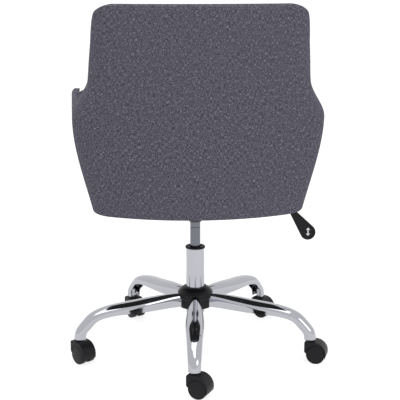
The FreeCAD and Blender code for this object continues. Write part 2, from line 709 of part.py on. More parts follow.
def top_edge(along):
    """Height of the shell's top edge: level over the back, round at its corner, then down into the arm."""
    along = abs(along)
    wing = ease((along - dim("wing_start")) / (dim("wing_end") - dim("wing_start")))
    arm = dim("arm_high") + dim("arm_rise") * ease((along - 2) / 0.9)
    radius = dim("top_round")
    corner_turn = math.radians(62)
    inset = dim("corner_radius") * (1 - math.cos(corner_turn * min(1.0, max(0.0, 2 - along))))
    rounding = radius - math.sqrt(radius ** 2 - max(0.0, radius - inset) ** 2)
    front = max(0.0, (along - 2.9) / 0.1)
    nose = dim("arm_nose") * (1 - math.sqrt(max(0.0, 1 - front * front)))
    return dim("back_high") + (arm + radius - dim("back_high")) * wing - rounding - nose


def wall_places():
    """Places along the wall for its sections: closer together round the corner and the arm's nose."""
    bow = [step / 5 for step in range(5)]
    corner = [1 + step / 10 for step in range(15)]
    arm = [2.5, 2.6, 2.7, 2.8, 2.9]
    nose = [2.9 + 0.1 * math.sin(math.radians(angle)) for angle in range(18, 91, 18)]
    right = bow + corner + arm + nose
    return [-place for place in reversed(right[1:])] + right


def wall_section(along, outer_depth, inner_depth, low, top_drop):
    """Closed upright section of the shell's wall at one place along it."""
    top = top_edge(along) - top_drop
    rows = 16
    sides = []
    for depth in (outer_depth, inner_depth):
        points = [plan_point(along, low + (top - low) * row / rows, depth) for row in range(rows + 1)]
        curve = Part.BSplineCurve()
        curve.interpolate(points)
        sides.append((points, curve))
    (outer_points, outer), (inner_points, inner) = sides
    inner.reverse()
    return Part.Wire([
        outer.toShape(),
        Part.LineSegment(outer_points[-1], inner_points[-1]).toShape(),
        inner.toShape(),
        Part.LineSegment(inner_points[0], outer_points[0]).toShape(),
    ])


def wall_solid(outer_depth, inner_depth, low, top_drop):
    """The whole shell's wall between two depths, from one arm's front round the back to the other's."""
    sections = [wall_section(along, outer_depth, inner_depth, low, top_drop) for along in wall_places()]
    return Part.makeLoft(sections, True, True)


def seat_outline(height, depth, front):
    """Closed wire inside the shell at a height: the wall's inner line, closed straight across the front."""
    reach = 2.999
    places = [-reach + 2 * reach * step / 60 for step in range(61)]
    points = [plan_point(along, height, depth) for along in places]
    curve = Part.BSplineCurve()
    curve.interpolate(points)
    left = Vector(points[0].x, -front, height)
    right = Vector(points[-1].x, -front, height)
    edges = [curve.toShape()]
    if abs(front - dim("arm_front")) > 2:
        edges.append(Part.LineSegment(points[-1], right).toShape())
        edges.append(Part.LineSegment(right, left).toShape())
        edges.append(Part.LineSegment(left, points[0]).toShape())
    else:
        edges.append(Part.LineSegment(points[-1], points[0]).toShape())
    return Part.Wire(edges)


def build_seat():
    """Board, moulded frame, upholstery and the sheet under the seat."""
    gap = dim("soft_gap")
    frame_inner = dim("cover_skin") + gap + dim("frame_wall")
    board_top = dim("board_low") + dim("board_thick")

    outline_wire = seat_outline(dim("board_low"), frame_inner + 0.6, dim("arm_front"))
    board = Part.Face(outline_wire).extrude(Vector(0, 0, dim("board_thick")))
    for x, y in corner_points(dim("bolt_x"), dim("bolt_y")):
        board = board.cut(Part.makeCylinder(5.02, 40, Vector(x, y, dim("board_low") - 10)))
    keep(group("seat_board", [board]), "seat_board")

    sheet_wire = seat_outline(dim("board_low") - 1.8, frame_inner + 0.6, dim("arm_front"))
    under = Part.Face(sheet_wire).extrude(Vector(0, 0, 1.4))
    window_x, window_y = dim("flange_half_x") + 1, dim("flange_half_y") + 1
    window = Part.makeBox(2 * window_x, 2 * window_y, 60, Vector(-window_x, -window_y, dim("pan_low")))
    keep(group("dust_cover", [under.cut(window)]), "dust_cover")

    keep(group("outer_cover", [wall_solid(0, dim("cover_skin"), dim("shell_low"), 0)]), "outer_cover")
    moulding = wall_solid(dim("cover_skin") + gap, frame_inner, dim("shell_low") + 2, 6)
    keep(group("shell_frame", [moulding]), "shell_frame")
    pads = wall_solid(frame_inner + gap, dim("back_depth"), board_top + gap, 0)
    rear = Part.makeBox(1000, 500, 1000, Vector(-500, dim("pad_joint"), 0))
    keep(group("back_pad", [pads.common(rear)]), "back_pad")
    for side, name in ((1, "arm_pad_left"), (-1, "arm_pad_right")):
        flank = Part.makeBox(500, 500, 1000, Vector(0 if side > 0 else -500, dim("pad_joint") - gap - 500, 0))
        keep(group(name, [pads.common(flank)]), name)

    cushion_low = board_top + 1.6
    levels = [cushion_low, (cushion_low + dim("cushion_high")) / 2, dim("cushion_high")]
    wires = [seat_outline(level, dim("back_depth") + gap + 0.5, dim("cushion_front")) for level in levels]
    keep(group("seat_cushion", [Part.makeLoft(wires, True, True)]), "seat_cushion")

    rail_half = half_width(dim("shell_low")) - 30
    rail_corner = Vector(-rail_half, -dim("arm_front") - 26, dim("shell_low") + 1)
    rail = Part.makeBox(2 * rail_half, 24, 16, rail_corner)
    keep(group("front_rail", [rail]), "front_rail")

    screws = []
    for along in (-2.7, -2.1, -0.7, 0.7, 2.1, 2.7):
        middle = dim("board_low") + dim("board_thick") / 2
        outside = plan_point(along, middle, dim("cover_skin") + gap + 2)
        inside = plan_point(along, middle, frame_inner + 30)
        screws.append(Part.makeCylinder(2, (inside - outside).Length, outside, inside - outside))
    keep(group("frame_screws", screws), "frame_screws")


# ---------------------------------------------------------------------------------------------
# Casters
# ---------------------------------------------------------------------------------------------
def hood_shape():
    """Caster hood along +X, stem at the origin: flat top, rounded tail and a web between the wheels."""
    top = dim("hood_high")
    half = dim("hood_half")
    axle = Vector(dim("trail"), 0, dim("wheel_radius"))
    curve_centre = Vector(12, 0, top - 32)
    tail = curve_centre + Vector(32 * math.cos(math.radians(-20)), 0, 32 * math.sin(math.radians(-20)))
    shoulder = curve_centre + Vector(32 * math.cos(math.radians(35)), 0, 32 * math.sin(math.radians(35)))
    front = -14
    outline_wire = Part.Wire([
        Part.LineSegment(Vector(front, 0, 33), Vector(front, 0, top - 3)).toShape(),
        Part.LineSegment(Vector(front, 0, top - 3), Vector(front + 3, 0, top)).toShape(),
        Part.LineSegment(Vector(front + 3, 0, top), Vector(12, 0, top)).toShape(),
        Part.Arc(Vector(12, 0, top), shoulder, tail).toShape(),
        Part.LineSegment(tail, Vector(26, 0, 9)).toShape(),
        Part.LineSegment(Vector(26, 0, 9), Vector(8, 0, 9)).toShape(),
        Part.LineSegment(Vector(8, 0, 9), Vector(-7, 0, 24)).toShape(),
        Part.LineSegment(Vector(-7, 0, 24), Vector(front, 0, 33)).toShape(),
    ])
    outline_wire.translate(Vector(0, -half, 0))
    hood = Part.Face(outline_wire).extrude(Vector(0, 2 * half, 0))
    rims = [edge for edge in hood.Edges
            if abs(abs(edge.CenterOfMass.y) - half) < 0.01 and edge.CenterOfMass.z > 30]
    hood = hood.makeFillet(1.8, rims)
    for side in (-1, 1):
        low_y = dim("web_half") if side > 0 else -half - 5
        room = Part.makeCylinder(dim("wheel_radius") + 0.7, half + 5 - dim("web_half"),
                                 Vector(axle.x, low_y, axle.z), Vector(0, 1, 0))
        hood = hood.cut(room)
    stem_bore = Part.makeCylinder(dim("swivel_radius") + dim("running_gap"), top,
                                  Vector(0, 0, dim("stem_low") - 0.5))
    axle_bore = Part.makeCylinder(dim("axle_radius") + 0.02, 60, Vector(axle.x, -30, axle.z), Vector(0, 1, 0))
    return hood.cut(stem_bore).cut(axle_bore)


def build_casters():
    """Hood, axle and two separate wheels under each leg."""
    hood = hood_shape()
    for index in range(int(dim("leg_count"))):
        heading = dim(f"heading_{index + 1}")
        name = f"caster_{index + 1}"
        turn = Rotation(Vector(0, 0, 1), heading)
        stem = polar(dim("stem_circle"), leg_angle(index))
        axle_place = stem + turn.multVec(Vector(dim("trail"), 0, dim("wheel_radius")))

        casing = group(f"{name}_hood", [hood])
        casing.Placement = Placement(stem, turn)
        keep(casing, f"{name}_hood")

        axle = bound("Part::Cylinder", f"{name}_axle", Radius="Dims.axle_radius", Height="2 * Dims.axle_half")
        lying = turn * Rotation(Vector(1, 0, 0), -90)
        axle.Placement = Placement(axle_place - lying.multVec(Vector(0, 0, dim("axle_half"))), lying)
        keep(axle, f"{name}_axle")

        for side, tilt in (("left", -90), ("right", 90)):
            wheel = turned(f"{name}_wheel_{side}", [
                ("0", "Dims.axle_half + 0.5"),
                ("Dims.axle_radius + Dims.running_gap", "Dims.axle_half + 0.5"),
                ("Dims.axle_radius + Dims.running_gap", "Dims.wheel_inner"),
                ("Dims.axle_radius + 3.5", "Dims.wheel_inner"),
                ("Dims.axle_radius + 3.5", "Dims.wheel_outer - 5"),
                ("Dims.wheel_radius - 4.5", "Dims.wheel_outer - 5"),
                ("Dims.wheel_radius - 4.5", "Dims.wheel_inner"),
                ("Dims.wheel_radius", "Dims.wheel_inner"),
                ("Dims.wheel_radius", "Dims.wheel_outer"),
                ("Dims.wheel_radius - 4", "Dims.wheel_outer"),
                ("Dims.wheel_radius - 4.5", "Dims.wheel_outer - 0.6"),
                ("Dims.wheel_radius - 5.5", "Dims.wheel_outer + 0.2"),
                ("Dims.wheel_radius - 14", "Dims.wheel_outer + 0.9"),
                ("0", "Dims.wheel_outer + 1.1"),
            ], [
                ("Dims.wheel_radius", "Dims.wheel_outer", "2.5"),
                ("Dims.wheel_radius", "Dims.wheel_inner", "2"),
            ])
            wheel.Placement = Placement(axle_place, turn * Rotation(Vector(1, 0, 0), tilt))
            keep(wheel, f"{name}_wheel_{side}")


# ---------------------------------------------------------------------------------------------
# Build, check and write
# ---------------------------------------------------------------------------------------------
build_base()
build_gas_lift()
build_mechanism()
build_seat()
build_casters()
doc.recompute()

for item in doc.Objects:
    if "Invalid" in item.State or "Error" in item.State:
        raise RuntimeError(f"{item.Label} failed to build: {item.State}")
for piece in pieces:
    if piece.Shape.isNull() or not piece.Shape.isValid():
        raise RuntimeError(f"{piece.Label} has no valid shape")
    if piece.Shape.Volume <= 0:
        raise RuntimeError(f"{piece.Label} has no volume")
for piece in pieces:
    piece.Shape.exportStep(os.path.join("parts", piece.Label + ".step"))
print(len(pieces), "sub-parts written")
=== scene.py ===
"""Swivel office chair: a tweed tub seat on a gas lift and a five-leg chrome base with twin-wheel casters.

The pieces are in metres in the chair's own frame: the origin is on the floor under the column, +Z is up,
+Y points to the back of the seat and the height lever is on the -X side.
"""
import json
import math

import bmesh
import bpy
import numpy as np
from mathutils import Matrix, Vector
from mathutils.bvhtree import BVHTree


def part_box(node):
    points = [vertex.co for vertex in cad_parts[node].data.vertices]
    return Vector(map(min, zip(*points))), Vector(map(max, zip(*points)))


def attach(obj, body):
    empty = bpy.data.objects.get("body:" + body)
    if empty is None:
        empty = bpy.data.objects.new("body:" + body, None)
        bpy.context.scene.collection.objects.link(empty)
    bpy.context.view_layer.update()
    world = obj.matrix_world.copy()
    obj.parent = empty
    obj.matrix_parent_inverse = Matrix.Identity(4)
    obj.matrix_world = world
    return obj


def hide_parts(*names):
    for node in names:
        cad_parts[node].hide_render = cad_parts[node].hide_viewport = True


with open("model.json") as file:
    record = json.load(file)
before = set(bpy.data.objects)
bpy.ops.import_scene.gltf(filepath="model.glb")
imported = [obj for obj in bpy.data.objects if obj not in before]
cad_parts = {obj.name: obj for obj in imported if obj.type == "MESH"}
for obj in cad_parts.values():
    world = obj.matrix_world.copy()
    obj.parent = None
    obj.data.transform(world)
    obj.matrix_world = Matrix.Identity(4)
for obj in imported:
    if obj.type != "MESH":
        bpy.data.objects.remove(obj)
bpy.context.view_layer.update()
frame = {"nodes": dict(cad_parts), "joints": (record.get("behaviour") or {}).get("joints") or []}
nodes = frame["nodes"]

# ------------------------------------------------------------
# Studio.  A long lens at standing eye height looks down on the back of the chair.  The floor is pale
# vinyl paper, lit from below as well as by the white room, so that it carries no shadow; one large soft
# light is overhead and one beside the lens.
# ------------------------------------------------------------
lens_data = bpy.data.cameras.new("studio_lens")
lens_data.lens = 91.2
lens_data.sensor_width = 36
lens = bpy.data.objects.new("studio_lens", lens_data)
lens.location = (0.1583, 2.6472, 1.0465)
lens.rotation_euler = (math.radians(76.709), 0, math.radians(176.3))
bpy.context.scene.collection.objects.link(lens)
bpy.context.scene.camera = lens
bpy.context.scene.view_settings.view_transform = "Standard"


def linear(code):
    """Linear colour of an sRGB hex code: the straight part near black, the 2.4 power curve above it."""
    srgb = np.array([int(code[place:place + 2], 16) for place in (1, 3, 5)]) / 255
    channels = np.where(srgb <= 0.04045, srgb / 12.92, ((srgb + 0.055) / 1.055) ** 2.4)
    return (*channels.tolist(), 1.0)


def add(tree, kind, inputs=None, stops=(), **settings):
    """Add one shader node: settings are its options, inputs its sockets (a value or a link each)."""
    node = tree.nodes.new(kind)
    for option, value in settings.items():
        setattr(node, option, value)
    for socket, value in (inputs or {}).items():
        if isinstance(value, bpy.types.NodeSocket):
            tree.links.new(value, node.inputs[socket])
        else:
            node.inputs[socket].default_value = value
    for index, (place, code) in enumerate(stops):
        elements = node.color_ramp.elements
        stop = elements[index] if index < 2 else elements.new(place)
        stop.position = place
        stop.color = linear(code)
    return node


def material(name):
    """New material with an empty node tree; returns it with its tree."""
    finish = bpy.data.materials.new(name)
    finish.use_nodes = True
    finish.node_tree.nodes.clear()
    return finish, finish.node_tree


room = bpy.data.worlds.new("white_room")
room.use_nodes = True
room.node_tree.nodes["Background"].inputs["Color"].default_value = linear("#FFFFFF")
room.node_tree.nodes["Background"].inputs["Strength"].default_value = 1.0
bpy.context.scene.world = room

paper, tree = material("white_vinyl_paper")
surface = add(tree, "ShaderNodeBsdfPrincipled", {
    "Base Color": linear("#969696"), "Roughness": 0.8, "Specular IOR Level": 0.1,
    "Emission Color": linear("#FFFFFF"), "Emission Strength": 0.8})
add(tree, "ShaderNodeOutputMaterial", {"Surface": surface.outputs[0]})
floor_mesh = bpy.data.meshes.new("studio_floor")
reach = 40.0
floor_mesh.from_pydata([(-reach, -reach, 0), (reach, -reach, 0), (reach, reach, 0), (-reach, reach, 0)],
                       [], [(0, 1, 2, 3)])
floor = bpy.data.objects.new("studio_floor", floor_mesh)
floor.data.materials.append(paper)
bpy.context.scene.collection.objects.link(floor)

for name, place, size, watts in (("overhead_softbox", (0.3, 0.6, 3.2), 2.4, 40),
                                 ("side_softbox", (-2.2, 2.6, 1.8), 1.6, 22)):
    light_data = bpy.data.lights.new(name, "AREA")
    light_data.shape = "SQUARE"
    light_data.size = size
    light_data.energy = watts
    light = bpy.data.objects.new(name, light_data)
    light.location = place
    aim = Vector((0, 0, 0.55)) - Vector(place)
    light.rotation_euler = aim.to_track_quat("-Z", "Y").to_euler()
    bpy.context.scene.collection.objects.link(light)

# ------------------------------------------------------------
# Legs.  Five pressed steel channels, open below, welded to the hub tube and chromed.  Each is an arch
# carried along its length: level at the hub, wider at mid length, then turned down to its caster.
# ------------------------------------------------------------
def spline(knots, values, places):
    """Natural cubic spline through values at knots: its second derivatives solve the tridiagonal system."""
    step = np.diff(knots)
    count = len(knots)
    system = np.eye(count)
    right = np.zeros_like(values)
    slopes = np.diff(values, axis=0) / step[:, None]
    inner = np.arange(1, count - 1)
    system[inner, inner - 1] = step[:-1]
    system[inner, inner] = 2 * (step[:-1] + step[1:])
    system[inner, inner + 1] = step[1:]
    right[inner] = 6 * np.diff(slopes, axis=0)
    bend = np.linalg.solve(system, right)
    span = np.clip(np.searchsorted(knots, places) - 1, 0, count - 2)
    after = ((places - knots[span]) / step[span])[:, None]
    before = 1 - after
    width = step[span][:, None]
    curve = (before ** 3 - before) * bend[span] + (after ** 3 - after) * bend[span + 1]
    return before * values[span] + after * values[span + 1] + width ** 2 / 6 * curve


def grid_mesh(name, places, wrap_across=True, wrap_along=False, caps=False):
    """Piece from a grid of places (along, across, 3).  Quads join neighbours; a wrap closes that way round.

    Caps close both ends of a wall whose across points run out along one face and back along the other.
    """
    rows, columns = places.shape[:2]
    index = np.arange(rows * columns).reshape(rows, columns)
    along = np.arange(rows if wrap_along else rows - 1)
    across = np.arange(columns if wrap_across else columns - 1)
    row, column = [each.ravel() for each in np.meshgrid(along, across, indexing="ij")]
    next_row = (row + 1) % rows
    next_column = (column + 1) % columns
    quads = np.stack([index[row, column], index[row, next_column],
                      index[next_row, next_column], index[next_row, column]], 1).tolist()
    if caps:
        near = np.arange(columns // 2 - 1)
        far = columns - 1 - near
        quads += np.stack([index[0, near], index[0, far], index[0, far - 1], index[0, near + 1]], 1).tolist()
        ends = [index[-1, near], index[-1, near + 1], index[-1, far - 1], index[-1, far]]
        quads += np.stack(ends, 1).tolist()
    mesh = bpy.data.meshes.new(name)
    mesh.from_pydata(places.reshape(-1, 3).tolist(), [], quads)
    piece = bpy.data.objects.new(name, mesh)
    bpy.context.scene.collection.objects.link(piece)
    return piece


def finish_mesh(piece, finish, crease=40.0):
    """Merge doubles, point the faces outwards, shade smooth with edges sharper than crease degrees kept."""
    work = bmesh.new()
    work.from_mesh(piece.data)
    bmesh.ops.remove_doubles(work, verts=work.verts, dist=1e-6)
    bmesh.ops.dissolve_degenerate(work, edges=work.edges, dist=1e-7)
    bmesh.ops.recalc_face_normals(work, faces=work.faces)
    for face in work.faces:
        face.smooth = True
    for edge in work.edges:
        edge.smooth = len(edge.link_faces) == 2 and edge.calc_face_angle() < math.radians(crease)
    work.to_mesh(piece.data)
    work.free()
    piece.data.materials.clear()
    piece.data.materials.append(finish)
    return piece


def stands_for(piece, body, node):
    """Hand a piece to the frame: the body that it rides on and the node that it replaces."""
    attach(piece, body)
    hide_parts(node)


def dress(finish, *names):
    """Give nodes that stay in sight their finish."""
    for name in names:
        nodes[name].data.materials.clear()
        nodes[name].data.materials.append(finish)


# Bright chromium plate over polished steel: a mirror that is faintly blue, with the slight ripple of the
# buffing wheel and a little haze.
chrome, tree = material("polished_chromium_plate")
place = add(tree, "ShaderNodeTexCoord")
haze = add(tree, "ShaderNodeTexNoise", {"Vector": place.outputs["Object"], "Scale": 90.0, "Detail": 3.0})
roughness = add(tree, "ShaderNodeMapRange", {"Value": haze.outputs[0], "To Min": 0.03, "To Max": 0.09})
ripple = add(tree, "ShaderNodeTexNoise", {"Vector": place.outputs["Object"], "Scale": 30.0, "Detail": 1.0})
relief = add(tree, "ShaderNodeBump", {"Height": ripple.outputs[0], "Strength": 0.25, "Distance": 0.0003})
surface = add(tree, "ShaderNodeBsdfPrincipled", {
    "Base Color": linear("#B0B1B7"), "Metallic": 1.0,
    "Roughness": roughness.outputs[0], "Normal": relief.outputs[0]})
add(tree, "ShaderNodeOutputMaterial", {"Surface": surface.outputs[0]})

# Zinc-plated steel: grey, brushed by the tumbling of small parts, never quite even.
zinc, tree = material("zinc_plated_steel")
place = add(tree, "ShaderNodeTexCoord")
cloud = add(tree, "ShaderNodeTexNoise", {"Vector": place.outputs["Object"], "Scale": 260.0, "Detail": 5.0})
tone = add(tree, "ShaderNodeValToRGB", {"Fac": cloud.outputs[0]}, stops=((0.3, "#8E8F92"), (0.7, "#B4B5B8")))
roughness = add(tree, "ShaderNodeMapRange", {"Value": cloud.outputs[0], "To Min": 0.28, "To Max": 0.5})
surface = add(tree, "ShaderNodeBsdfPrincipled", {
    "Base Color": tone.outputs[0], "Metallic": 1.0, "Roughness": roughness.outputs[0]})
add(tree, "ShaderNodeOutputMaterial", {"Surface": surface.outputs[0]})

leg_wall = 0.002
leg_arch = 0.017
arch_power = 2 / 2.2
hub_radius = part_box("hub_tube")[1].x
leg_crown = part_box("hub_tube")[0].z + 0.040
leg_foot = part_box("caster_sockets")[0].z
leg_end = 0.339
leg_shape = np.array([
    # radius, crown height, tilt in radians, width, depth
    (hub_radius + 0.001, leg_crown, 0.0, 0.024, 0.036),
    (0.062, leg_crown + 0.0005, 0.0, 0.029, 0.0355),
    (0.100, leg_crown - 0.001, math.radians(1), 0.0385, 0.034),
    (0.135, leg_crown - 0.004, math.radians(3), 0.045, 0.032),
    (0.172, leg_crown - 0.008, math.radians(5), 0.048, 0.029),
    (0.227, leg_crown - 0.013, math.radians(8), 0.047, 0.025),
    (0.262, leg_crown - 0.0195, math.radians(18), 0.043, 0.0235),
    (leg_end - 0.043, leg_crown - 0.034, math.radians(38), 0.039, 0.023),
    (leg_end - 0.020, leg_crown - 0.056, math.radians(60), 0.036, 0.025),
    (leg_end - 0.004, leg_foot + 0.020, math.radians(82), 0.0335, 0.027),
    (leg_end, leg_foot, math.radians(90), 0.033, 0.028),
])


def leg_places(turn):
    """Grid of one leg.  Across: the arch |across|^2.2 + |down|^2.2 = 1 with upright sides, out then in."""
    strides = np.hypot(np.diff(leg_shape[:, 0]), np.diff(leg_shape[:, 1]))
    knots = np.concatenate([[0], np.cumsum(strides)])
    radius, crown, tilt, width, depth = spline(knots, leg_shape, np.linspace(0, knots[-1], 90)).T[:, :, None]
    angle = np.linspace(0, math.pi, 33)[None, :]
    faces = []
    for wall in (0.0, leg_wall):
        half = width / 2 - wall
        arch = leg_arch - wall
        across = half * np.sign(np.cos(angle)) * np.abs(np.cos(angle)) ** arch_power
        down = -wall - arch + arch * np.sin(angle) ** arch_power + 0 * half
        right = -depth + (depth - wall - arch) * np.linspace(0, 1, 5)[:-1]
        left = right[:, ::-1]
        faces.append((np.concatenate([half + 0 * right, across, -half + 0 * left], 1),
                      np.concatenate([right, down, left], 1)))
    (outer_across, outer_down), (inner_across, inner_down) = faces
    across = np.concatenate([outer_across, inner_across[:, ::-1]], 1)
    down = np.concatenate([outer_down, inner_down[:, ::-1]], 1)
    out = radius + down * np.sin(tilt)
    height = crown + down * np.cos(tilt)
    return np.stack([out * math.cos(turn) - across * math.sin(turn),
                     out * math.sin(turn) + across * math.cos(turn), height], 2)


base_turn = math.radians(86.2)
for count in range(5):
    leg = grid_mesh(f"chrome_leg_{count + 1}", leg_places(base_turn + math.radians(72 * count)), caps=True)
    finish_mesh(leg, chrome)
    stands_for(leg, "base", f"leg_{count + 1}")

# ------------------------------------------------------------
# Hub.  The legs are welded round a steel tube, and a moulded black cover clips over them: a domed top
# with a rounded shoulder and a plain skirt between the legs.
# ------------------------------------------------------------
def rounded(corners):
    """Closed (radius, height) outline with arcs: each corner is (radius, height, fillet), 0 keeps it sharp.

    An arc starts and ends at fillet / tan(half the corner's angle) from the corner, its centre on the bisector.
    """
    points = np.array([corner[:2] for corner in corners])
    outline = []
    for index, (point, fillet) in enumerate(zip(points, [corner[2] for corner in corners])):
        if fillet == 0:
            outline.append(point[None, :])
            continue
        back = points[index - 1] - point
        ahead = points[(index + 1) % len(points)] - point
        back = back / np.linalg.norm(back)
        ahead = ahead / np.linalg.norm(ahead)
        half = math.acos(np.clip(back @ ahead, -1, 1)) / 2
        bisector = (back + ahead) / np.linalg.norm(back + ahead)
        centre = point + bisector * fillet / math.sin(half)
        start = point + back * fillet / math.tan(half) - centre
        end = point + ahead * fillet / math.tan(half) - centre
        sweep = math.pi - 2 * half
        part = np.linspace(0, 1, 7)[:, None]
        swept = np.sin((1 - part) * sweep) * start + np.sin(part * sweep) * end
        outline.append(centre + swept / math.sin(sweep))
    return np.concatenate(outline)


def turned(name, corners, finish, steps=96, crease=40.0):
    """Body of revolution about Z: the outline at every angle."""
    outline = rounded(corners)
    angle = np.linspace(0, 2 * math.pi, steps, endpoint=False)[:, None]
    radius, height = outline.T
    places = np.stack([radius * np.cos(angle), radius * np.sin(angle), height + 0 * angle], 2)
    return finish_mesh(grid_mesh(name, places, wrap_along=True), finish, crease)


def black_moulding(name, code, gloss, grain):
    """Moulded black plastic: code is its colour, gloss its roughness, grain the texture's size in mm."""
    finish, tree = material(name)
    place = add(tree, "ShaderNodeTexCoord")
    spark = add(tree, "ShaderNodeTexNoise", {
        "Vector": place.outputs["Object"], "Scale": 1000.0 / grain, "Detail": 2.0})
    smear = add(tree, "ShaderNodeTexNoise", {"Vector": place.outputs["Object"], "Scale": 35.0, "Detail": 3.0})
    roughness = add(tree, "ShaderNodeMapRange", {
        "Value": smear.outputs[0], "To Min": gloss - 0.06, "To Max": gloss + 0.08})
    relief = add(tree, "ShaderNodeBump", {"Height": spark.outputs[0], "Strength": 0.35, "Distance": 0.0001})
    surface = add(tree, "ShaderNodeBsdfPrincipled", {
        "Base Color": linear(code), "Roughness": roughness.outputs[0], "Normal": relief.outputs[0],
        "Specular IOR Level": 0.2})
    add(tree, "ShaderNodeOutputMaterial", {"Surface": surface.outputs[0]})
    return finish


# Spark-eroded polypropylene: even black with a soft highlight.
black_plastic = black_moulding("spark_textured_polypropylene", "#0F0E12", 0.42, 0.8)

dress(zinc, "hub_tube", "caster_stems", "thrust_bearing")
dress(chrome, "caster_sockets")

column_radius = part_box("outer_tube")[1].x
cover_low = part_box("hub_cover")[0].z
cover_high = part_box("hub_cover")[1].z
cover_shoulder = 0.048
cover_skirt = 0.0455
hub_cover = turned("moulded_hub_cover", [
    (column_radius + 0.0004, cover_high, 0.0006),
    (column_radius + 0.006, cover_high, 0.004),
    (cover_shoulder - 0.007, cover_high - 0.007, 0.006),
    (cover_shoulder, cover_high - 0.016, 0.005),
    (cover_shoulder, cover_high - 0.027, 0.003),
    (cover_skirt, cover_high - 0.031, 0.002),
    (cover_skirt, cover_low, 0.0008),
    (hub_radius + 0.0003, cover_low, 0),
    (hub_radius + 0.0003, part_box("hub_tube")[1].z + 0.0005, 0),
    (column_radius + 0.0004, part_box("hub_tube")[1].z + 0.0005, 0),
], black_plastic)
stands_for(hub_cover, "base", "hub_cover")

# ------------------------------------------------------------
# Column.  A chromed steel tube stands in the hub, closed below by a floor plate and above by a dished
# black collar, with a plastic guide bush and a rubber bumper inside.
# ------------------------------------------------------------
column_low, column_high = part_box("outer_tube")[0].z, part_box("outer_tube")[1].z
column_bore = 0.0235
rod_hole = 0.00505
column = turned("chrome_column", [
    (column_bore, column_high, 0.0004),
    (column_radius, column_high, 0.0006),
    (column_radius, column_low, 0.0012),
    (rod_hole, column_low, 0.0004),
    (rod_hole, column_low + 0.003, 0.0004),
    (column_bore, column_low + 0.003, 0),
], chrome)
stands_for(column, "base", "outer_tube")

collar_low, collar_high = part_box("tube_collar")[0].z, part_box("tube_collar")[1].z
collar_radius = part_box("tube_collar")[1].x
lift_radius = 0.014
collar = turned("dished_collar", [
    (lift_radius + 0.0005, collar_high - 0.002, 0),
    (lift_radius + 0.002, collar_high - 0.002, 0.0008),
    (lift_radius + 0.005, collar_high, 0.0008),
    (collar_radius, collar_high, 0.002),
    (collar_radius, collar_low, 0.0006),
    (column_radius + 0.00005, collar_low, 0),
    (column_radius + 0.00005, column_high + 0.00005, 0),
    (lift_radius + 0.0005, column_high + 0.00005, 0),
], black_plastic)
stands_for(collar, "base", "tube_collar")

# Natural acetal: off-white and waxy.
acetal, tree = material("natural_acetal")
place = add(tree, "ShaderNodeTexCoord")
flow = add(tree, "ShaderNodeTexNoise", {"Vector": place.outputs["Object"], "Scale": 60.0, "Detail": 2.0})
tone = add(tree, "ShaderNodeValToRGB", {"Fac": flow.outputs[0]}, stops=((0.3, "#DAD8CF"), (0.7, "#E8E7E1")))
surface = add(tree, "ShaderNodeBsdfPrincipled", {
    "Base Color": tone.outputs[0], "Roughness": 0.35, "IOR": 1.48, "Subsurface Weight": 0.1,
    "Subsurface Scale": 0.002})
add(tree, "ShaderNodeOutputMaterial", {"Surface": surface.outputs[0]})

rubber = black_moulding("moulded_nitrile_rubber", "#161616", 0.7, 0.5)
dress(acetal, "guide_bush")
dress(rubber, "rubber_bumper")

# ------------------------------------------------------------
# Gas lift.  The rod stands on the bearing in the column's floor.  The pressure tube slides in the bush:
# satin chromed steel, with a groove rolled near its top, a taper that locks into the seat's socket and
# the valve pin in its end.
# ------------------------------------------------------------
# Ground and hard-chromed tube: darker and more satin than the polished column, with marks round it.
satin, tree = material("ground_hard_chrome")
place = add(tree, "ShaderNodeTexCoord")
stretch = add(tree, "ShaderNodeMapping", {"Vector": place.outputs["Object"], "Scale": (40.0, 40.0, 1500.0)})
marks = add(tree, "ShaderNodeTexNoise", {"Vector": stretch.outputs[0], "Scale": 1.0, "Detail": 2.0})
roughness = add(tree, "ShaderNodeMapRange", {"Value": marks.outputs[0], "To Min": 0.16, "To Max": 0.28})
relief = add(tree, "ShaderNodeBump", {"Height": marks.outputs[0], "Strength": 0.2, "Distance": 0.00005})
surface = add(tree, "ShaderNodeBsdfPrincipled", {
    "Base Color": linear("#6F7179"), "Metallic": 1.0,
    "Roughness": roughness.outputs[0], "Normal": relief.outputs[0]})
add(tree, "ShaderNodeOutputMaterial", {"Surface": surface.outputs[0]})

lift_low, lift_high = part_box("pressure_tube")[0].z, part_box("pressure_tube")[1].z
lift_bore = 0.0125
cone_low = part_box("taper_socket")[0].z
groove = cone_low - 0.015
lift = turned("ground_pressure_tube", [
    (lift_bore, lift_low, 0.0004),
    (lift_radius, lift_low, 0.0006),
    (lift_radius, groove - 0.0016, 0.0004),
    (lift_radius - 0.0008, groove - 0.0008, 0.0004),
    (lift_radius - 0.0008, groove + 0.0008, 0.0004),
    (lift_radius, groove + 0.0016, 0.0004),
    (lift_radius, cone_low, 0),
    (0.013, lift_high, 0.001),
    (0.00405, lift_high, 0.0003),
    (0.00405, lift_high - 0.005, 0),
    (0.0105, lift_high - 0.005, 0),
    (0.0105, lift_high - 0.018, 0),
    (lift_bore, lift_high - 0.022, 0),
], satin)
stands_for(lift, "lift", "pressure_tube")
dress(satin, "piston_rod")
dress(zinc, "rod_clip", "piston_head")
dress(rubber, "rod_gland")
dress(acetal, "valve_body", "valve_pin")

